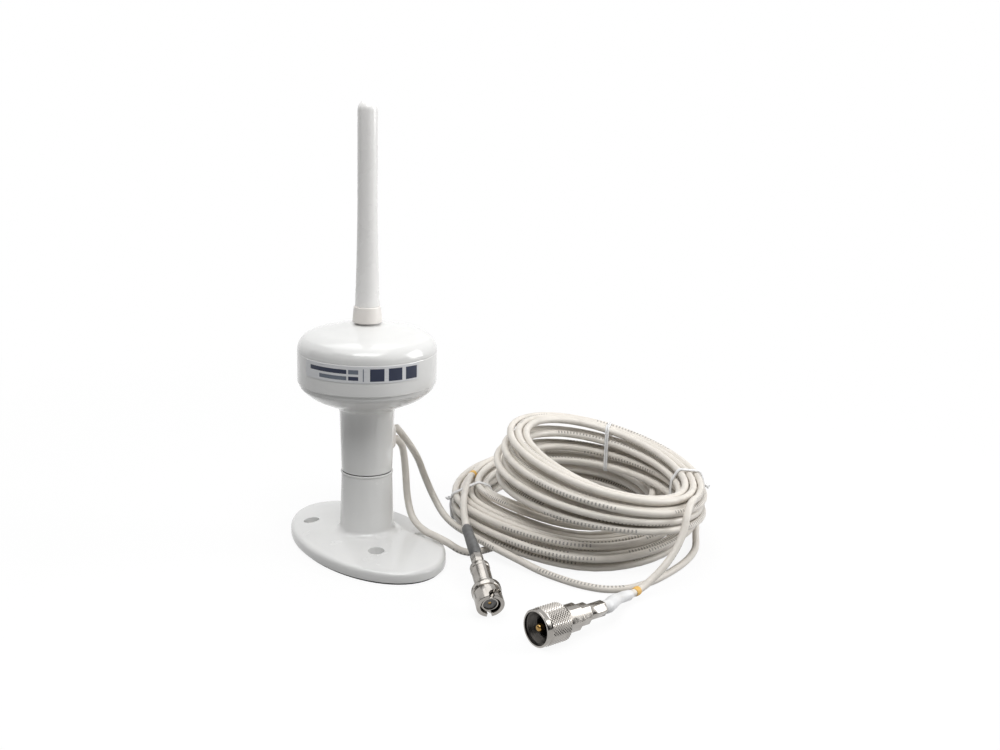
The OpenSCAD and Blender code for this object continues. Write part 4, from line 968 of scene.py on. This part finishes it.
def sheath_rings():
    foot, tip = WHIP_FOOT_H, WHIP_TIP_H - WHIP_TIP_R
    rings = [(0.05, 226), (2.6, 225.2), (SHEATH_BORE_R, 223), (SHEATH_BORE_R, foot + 8),
             (SOCKET_R, foot + 7.8), (SOCKET_R, foot), (6.1, foot), (SHEATH_FOOT_R, foot + 0.25)]
    for i in range(1, 13):
        t = 1 - (1 - i / 12) ** 1.6
        rings.append((SHEATH_FOOT_R - TAPER * t, foot + TAPER_L / 12 * i))
    rings += [(WHIP_TIP_R, 200), (WHIP_TIP_R, 215), (WHIP_TIP_R, tip)]
    for turn in range(10, 90, 10):
        c, s = cos_sin(turn)
        rings.append((WHIP_TIP_R * c, tip + WHIP_TIP_R * s))
    return rings + [(0.05, WHIP_TIP_H)]


sheath = turned("whip_sheath_white", sheath_rings(), 72)
smooth(sheath, 40)
dress(sheath, sheath_finish(), WHIP, "white_plastic", "whip_sheath")

collar = turned("whip_collar_ring", eased([
    (4.5, COLLAR_LOW_H), (7.7, COLLAR_LOW_H, 0.35), (7.55, 124.4, 0.3), (6.9, WHIP_FOOT_H, 0.5),
    (4.5, WHIP_FOOT_H)]), 72, hollow=True)
smooth(collar, 30)
dress(collar, COLLAR_PLASTIC, WHIP, "grey_plastic", "whip_collar")


# ---------------------------------------------------------------- grommet of the leads

def grommet():
    """A collared block in the column's wall, with a bore for each lead."""
    block = upright_slab("grommet_block", 4.8, 12.9, EXIT_R)
    soften(block, lambda p, way: p.z > EXIT_R - 0.01 and abs(way.z) < 0.1, 0.6)
    lay_on_exit(block)
    for h in (VHF_EXIT_H, GPS_EXIT_H):
        bore = turned("grommet_bore_tool", [(1.95, 5), (1.95, EXIT_R - 0.5), (2.5, EXIT_R + 0.1),
                                            (2.5, 20)], 32)
        cut(block, lay(bore, (0, 90, EXIT_TURN), (0, 0, h)))
    smooth(block, 35)
    return block


dress(grommet(), COLLAR_PLASTIC, BODY, "grey_plastic", "cable_grommet")


# ---------------------------------------------------------------- bayonet plug

NUT_SIDES, KNURL_LOW, KNURL_HIGH, KNURL_R, KNURL_DEPTH = 120, 9.1, 11.7, 7.25, 0.16
SLOT_HALF, SLOT_NEAR_R, SLOT_FAR_R, SLOT_R, SLOT_TURN = 1.15, 4.5, 7.6, 6, 70
SLOT_END_R, SLOT_END_H = 1.55, 5.4


def around_share(p, sides):
    """The number of the line, of a turned piece's, that a point lies on."""
    return round(math.degrees(math.atan2(p.y, p.x)) % 360 * sides / 360)


def shrink(scale):
    bpy.ops.transform.resize(value=(scale, scale, 1))


def on_plug(plug, piece, angle, material, body, slot, node):
    """Smooths a piece built upwards from a plug's face, lays it along the plug and dresses it."""
    if angle:
        smooth(piece, angle)
    face, turn, pitch = plug
    piece.location = Vector(face) * MM
    piece.rotation_euler = (0, math.radians(90 - pitch), math.radians(turn))
    settle(piece)
    return dress(piece, material, body, slot, node)


def hex_ferrule(name, rings, width, angle, plug, node):
    """A ferrule crimped to six flats."""
    ferrule = turned(name, rings, 6)
    soften(ferrule, lambda p, way: abs(way.z) > 0.9, width)
    on_plug(plug, ferrule, angle, NICKEL, BODY, "nickel", node)


def bayonet_slot_tool(side):
    """A bar of square section that goes into the nut's mouth and turns along its wall."""
    track = [(0, -1), (0, 1.0), (1.5, 2.0)]
    track += [(SLOT_TURN * k / 12, 2.6 + 2.8 * smooth01(k / 10)) for k in range(1, 13)]
    bm = bmesh.new()
    rings = []
    for i, (turn, h) in enumerate(track):
        before, after = track[max(i - 1, 0)], track[min(i + 1, len(track) - 1)]
        along = Vector((math.radians(after[0] - before[0]) * SLOT_R,
                        after[1] - before[1])).normalized()
        corners = []
        for reach, sign in ((SLOT_NEAR_R, 1), (SLOT_FAR_R, 1), (SLOT_FAR_R, -1), (SLOT_NEAR_R, -1)):
            a = math.radians(side + turn) - sign * SLOT_HALF * along.y / SLOT_R
            corners.append(bm.verts.new(Vector((reach * math.cos(a), reach * math.sin(a),
                                                h + sign * SLOT_HALF * along.x)) * MM))
        rings.append(corners)
    for one, other in zip(rings, rings[1:]):
        for j in range(4):
            bm.faces.new((one[j], one[(j + 1) % 4], other[(j + 1) % 4], other[j]))
    return tube("bayonet_slot_tool", bm, rings)


def bayonet_ring():
    """The nut, with fine teeth behind and two curved slots that end in round holes."""
    ring = turned("bayonet_ring", eased([
        (5.0, 0.15, 0.1), (6.9, 0, 0.35), (6.9, 8.0, 0.25), (6.35, 8.3), (6.35, 8.7), (7.05, 8.9),
        (KNURL_R, 9.15), (KNURL_R, 11.6), (7.0, BNC_NUT_L), (4.09, BNC_NUT_L), (4.09, 9.6),
        (4.95, 9.6), (4.95, 0.6)], 3), NUT_SIDES, hollow=True)
    edit(ring)
    pick(ring, "VERT", lambda p, way: KNURL_LOW < p.z < KNURL_HIGH
         and math.hypot(p.x, p.y) > KNURL_R - 0.1 and around_share(p, NUT_SIDES) % 2)
    shrink((KNURL_R - KNURL_DEPTH) / KNURL_R)
    close_edit()
    for side in (0, 180):
        cut(ring, bayonet_slot_tool(side))
        hole = turned("slot_end_tool", [(SLOT_END_R, 4), (SLOT_END_R, 9)], 32)
        cut(ring, lay(hole, (0, 90, side + SLOT_TURN), (0, 0, SLOT_END_H)))
    return ring


on_plug(BAYONET_PLUG, bayonet_ring(), 30, NICKEL, NUT, "nickel", "bnc_nut")
on_plug(BAYONET_PLUG, turned("bayonet_body", eased([
    (3.4, 1.2), (4.0, 1.2, 0.12), (4.0, 6.6), (4.7, 6.6, 0.1), (4.7, 9.2, 0.1), (4.0, 9.3),
    (4.0, 12.3), (4.9, 12.3, 0.3), (4.9, 15.2, 0.15), (4.65, 15.5), (4.65, 25.2), (4.9, 25.5, 0.15),
    (4.9, 28, 0.4), (2.4, 28), (2.4, 8.4), (3.4, 8.4)], 3), 72, hollow=True),
    30, NICKEL, BODY, "nickel", "bnc_body")
on_plug(BAYONET_PLUG, turned("bayonet_front_insulator", eased([
    (0.95, 2.0), (3.3, 2.0, 0.15), (3.3, 5.4), (2.2, 8.5), (2.2, 27.8), (0.7, 27.8), (0.7, 4)], 3),
    48, hollow=True), 30, DARK_INSULATOR, BODY, "insulator", "bnc_insulator")
hex_ferrule("bayonet_ferrule", [(3.1, 27.9), (3.35, 28.2), (3.35, 35.8), (3.1, BNC_L)], 0.35, 40,
            BAYONET_PLUG, "bnc_ferrule")


# ---------------------------------------------------------------- screw plug

RING_R, RING_SIDES, ROW_STEP, ROW_LOW, ROWS = 9.25, 80, 0.72, 3.1, 15
PLAIN_R, THREAD_R, THREAD_CREST_R, THREAD_PITCH, THREADS = 8.92, 7.9, 7.35, 1.06, 11
# Depths and radii of the ring's and the sleeve's mouths; inside them the nickel gets painted shade.
MOUTH_L, MOUTH_R, SLEEVE_MOUTH_L, SLEEVE_MOUTH_R = 15, 7.95, 12.5, 6


def coupling_ring():
    """A hollow ring with a plain rim, diamond knurling and an inside thread."""
    top = ROW_LOW + ROW_STEP * ROWS
    rings = [(8.0, 0.0), (8.7, 0.0), (8.95, 0.3), (8.95, 2.1), (8.75, 2.35), (8.75, 2.65),
             (PLAIN_R, 2.85)]
    rings += [(PLAIN_R, ROW_LOW + ROW_STEP * k) for k in range(ROWS + 1)]
    rings += [(8.6, top + 0.5), (7.6, 15.9), (7.3, UHF_RING_L)]
    rings += [(5.83, UHF_RING_L), (5.83, 13.4), (THREAD_R, 13.4)]
    for k in range(THREADS):
        at = 12.6 - THREAD_PITCH * k
        rings += [(THREAD_R, at), (THREAD_CREST_R, at - 0.5)]
    rings += [(THREAD_R, 1.2)]
    ring = turned("screw_plug_ring", rings, RING_SIDES, hollow=True)

    def row(p):
        return (p.z - ROW_LOW) / ROW_STEP

    edit(ring)
    pick(ring, "FACE", lambda p, way: ROW_LOW < p.z < top and math.hypot(p.x, p.y) > 8.5)
    bpy.ops.mesh.poke(offset=0)
    pick(ring, "VERT", lambda p, way: ROW_LOW - 0.1 < p.z < top + 0.1
         and math.hypot(p.x, p.y) > 8.85 and abs(row(p) - round(row(p))) < 0.1
         and (around_share(p, RING_SIDES) + round(row(p))) % 2 == 0)
    shrink((RING_R - 0.02) / PLAIN_R)
    close_edit()
    return ring


def paint_mouth_shade(piece, reach, radius):
    """Gives the faces inside the plug's mouth a darker nickel: painted shade for the shade that
    falls deep in the mouth.
    """
    piece.data.materials.append(SHADED_NICKEL_INSIDE)
    way = back_way(UHF_BEARING, UHF_PITCH)
    for face in piece.data.polygons:
        off = face.center / MM - Vector(UHF_FACE)
        along = off.dot(way)
        if along < reach and (off - along * way).length < radius:
            face.material_index = 1


def screw_plug_body():
    """Front sleeve and shoulder inside the ring, turned, and the body behind it, with flats."""
    front = turned("screw_plug_body", eased([
        (4.9, 5.4), (5.75, 5.4, 0.2), (5.75, 11.5), (7.3, 11.5, 0.15), (7.3, 13.1, 0.15),
        (5.75, 13.1), (5.75, 16.3), (6.2, 16.3), (6.2, 17.2, 0.2), (4.0, 17.2), (3.6, 16),
        (3.6, 10.6), (4.9, 10.6)], 3), 72, hollow=True)
    rear = turned("screw_plug_flats", [(6.3, 16.7), (6.75, 17.3), (6.75, 24.2), (6.1, 25.0),
                                       (5.4, 25.0), (5.4, 30.4), (5.0, 31)], 6)
    soften(rear, lambda p, way: abs(way.z) > 0.5, 0.3)
    smooth(front, 30)
    smooth(rear, 22)
    take(front)
    rear.select_set(True)
    bpy.ops.object.join()
    return front


ring = on_plug(SCREW_PLUG, coupling_ring(), 18, NICKEL, RING, "nickel", "uhf_ring")
paint_mouth_shade(ring, MOUTH_L, MOUTH_R)
body = on_plug(SCREW_PLUG, screw_plug_body(), None, NICKEL, BODY, "nickel", "uhf_body")
paint_mouth_shade(body, SLEEVE_MOUTH_L, SLEEVE_MOUTH_R)
hex_ferrule("screw_plug_ferrule", [(3.9, 30.9), (4.0, 31.2), (4.0, 40.8), (3.8, UHF_L)], 0.5, 35,
            SCREW_PLUG, "uhf_ferrule")
on_plug(SCREW_PLUG, turned("screw_plug_pin", [
    (0.7, 0.8), (1.1, 0.9), (1.6, 1.3), (1.9, 1.9), (2.0, 2.6), (2.0, 20.5)], 40),
    40, SHADED_GOLD, BODY, "gold", "uhf_pin")


# ---------------------------------------------------------------- ties and markers

TIE_D, TIE_GAP, TIE_SIDES, TIE_WRAPS, TIE_STEP = 1.1, 0.1, 10, 2, 1.0
TWIST_L, TWIST_STEP, TWIST_TURN, TWIST_FROM = 2, 0.35, 0.62, 1.4


def bundle(turn, point, start, direction, loops, total):
    """Where the strands of a coil cross a bearing."""
    first = (direction * (turn - start) / 360) % 1
    return [point(turn, across(first + k, loops), layer(first + k, loops))
            for k in range(math.ceil(total)) if first + k <= total]


def wrapped(flat):
    """The line drawn tight round flat places."""
    flat = sorted(flat)
    chains = []
    for order in (flat, flat[::-1]):
        chain = []
        for p in order:
            while len(chain) > 1 and ((chain[-1][0] - chain[-2][0]) * (p[1] - chain[-2][1])
                                      - (chain[-1][1] - chain[-2][1]) * (p[0] - chain[-2][0])) <= 0:
                chain.pop()
            chain.append(p)
        chains.append(chain[:-1])
    return chains[0] + chains[1]


def tie_path(strands, out, along, ends_at):
    """Wire drawn tight round the strands, with its ends twisted together at an angle."""
    up = Vector((0, 0, 1))
    middle = sum(strands, Vector()) / len(strands)
    reach = CORD_R + TIE_GAP + TIE_D / 2
    flat = [((p - middle).dot(out) + reach * math.cos(t), (p - middle).dot(up) + reach * math.sin(t))
            for p in strands for t in (math.tau * i / 24 for i in range(24))]
    rim = wrapped(flat)

    def off(i):
        return abs((math.degrees(math.atan2(rim[i][1], rim[i][0])) - ends_at + 180) % 360 - 180)

    first = min(range(len(rim)), key=off)
    rim = rim[first:] + rim[:first] + [rim[first]]
    loop = finer([middle + x * out + y * up for x, y in rim], TIE_STEP)
    n = len(loop)
    line = [p + along * (TIE_D * 1.05 * (i + k * n) / n - TIE_D * TIE_WRAPS / 2)
            for k in range(TIE_WRAPS) for i, p in enumerate(loop)]
    away = (line[0] - middle - along * (line[0] - middle).dot(along)).normalized()
    side = away.cross(along).normalized()
    way = (away * 0.55 + side * 0.6 + along * 0.35).normalized()
    one, other = way.cross(along).normalized(), way.cross(way.cross(along)).normalized()
    foot = (line[0] + line[-1]) / 2 + way * TWIST_FROM

    def twist(shift):
        turns = [TWIST_TURN * i + shift for i in range(round(TWIST_L / TWIST_STEP))]
        return [foot + way * (TWIST_STEP * i)
                + TIE_D * 0.52 * (math.cos(t) * one + math.sin(t) * other)
                for i, t in enumerate(turns)]

    return twist(0)[::-1] + line + twist(math.pi)


def tie(name, coil, turn, ends_at, node):
    out = coil[0](turn, 1, 0) - coil[0](turn, -1, 0)
    out = Vector((out.x, out.y, 0)).normalized()
    path = tie_path(bundle(turn, *coil), out, out.cross(Vector((0, 0, 1))), ends_at)
    dress(sweep(name, path, TIE_D / 2, TIE_SIDES), TIE_WHITE, BODY, "tie_wire", node)


tie("lower_coil_tie", LOWER_COIL, 183, 20, "lower_tie")
tie("upper_coil_back_tie", UPPER_COIL, 140, 10, "upper_back_tie")
tie("upper_coil_side_tie", UPPER_COIL, 70, 30, "upper_side_tie")

coil_end = line_length(gps_line[:gps_line.index(lower_coil[-1]) + 1])
sleeve_end = line_length(vhf_line[:-14])
marker("positioning_lead_marker", gps_line, coil_end + 0.5, 3.3, "gps_marker")
marker("radio_lead_marker", vhf_line, sleeve_end - 1.7, 3.4, "vhf_marker")


# ---------------------------------------------------------------- CAD parts that keep their shape

for material, *nodes in (
        (SEAL_RUBBER, "base_gasket", "joint_seal", "cover_seal"), (GROMMET_GREY, "whip_seal"),
        (PLATE_METAL, "ground_plane", "shield_can"), (BOARD_GREEN, "circuit_board"),
        (CERAMIC, "gps_patch"), (STEEL, "board_screws"), (INSULATOR, "stud_insulator"),
        (BRASS, "whip_stud", "stud_nut", "whip_insert"), (GLASS_FIBRE, "whip_core"),
        (COPPER, "whip_radiator"), (SHADED_GOLD, "bnc_pin"), (RED_RUBBER, "bnc_gasket"),
        (SHADED_BROWN_INSULATOR, "uhf_insulator")):
    for node in nodes:
        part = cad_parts[node]
        if part.material_slots:
            for slot in part.material_slots:
                slot.material = material
        else:
            part.data.materials.append(material)

# ---------------------------------------------------------------- how the render's colours are shown

bpy.context.scene.view_settings.view_transform = "Standard"
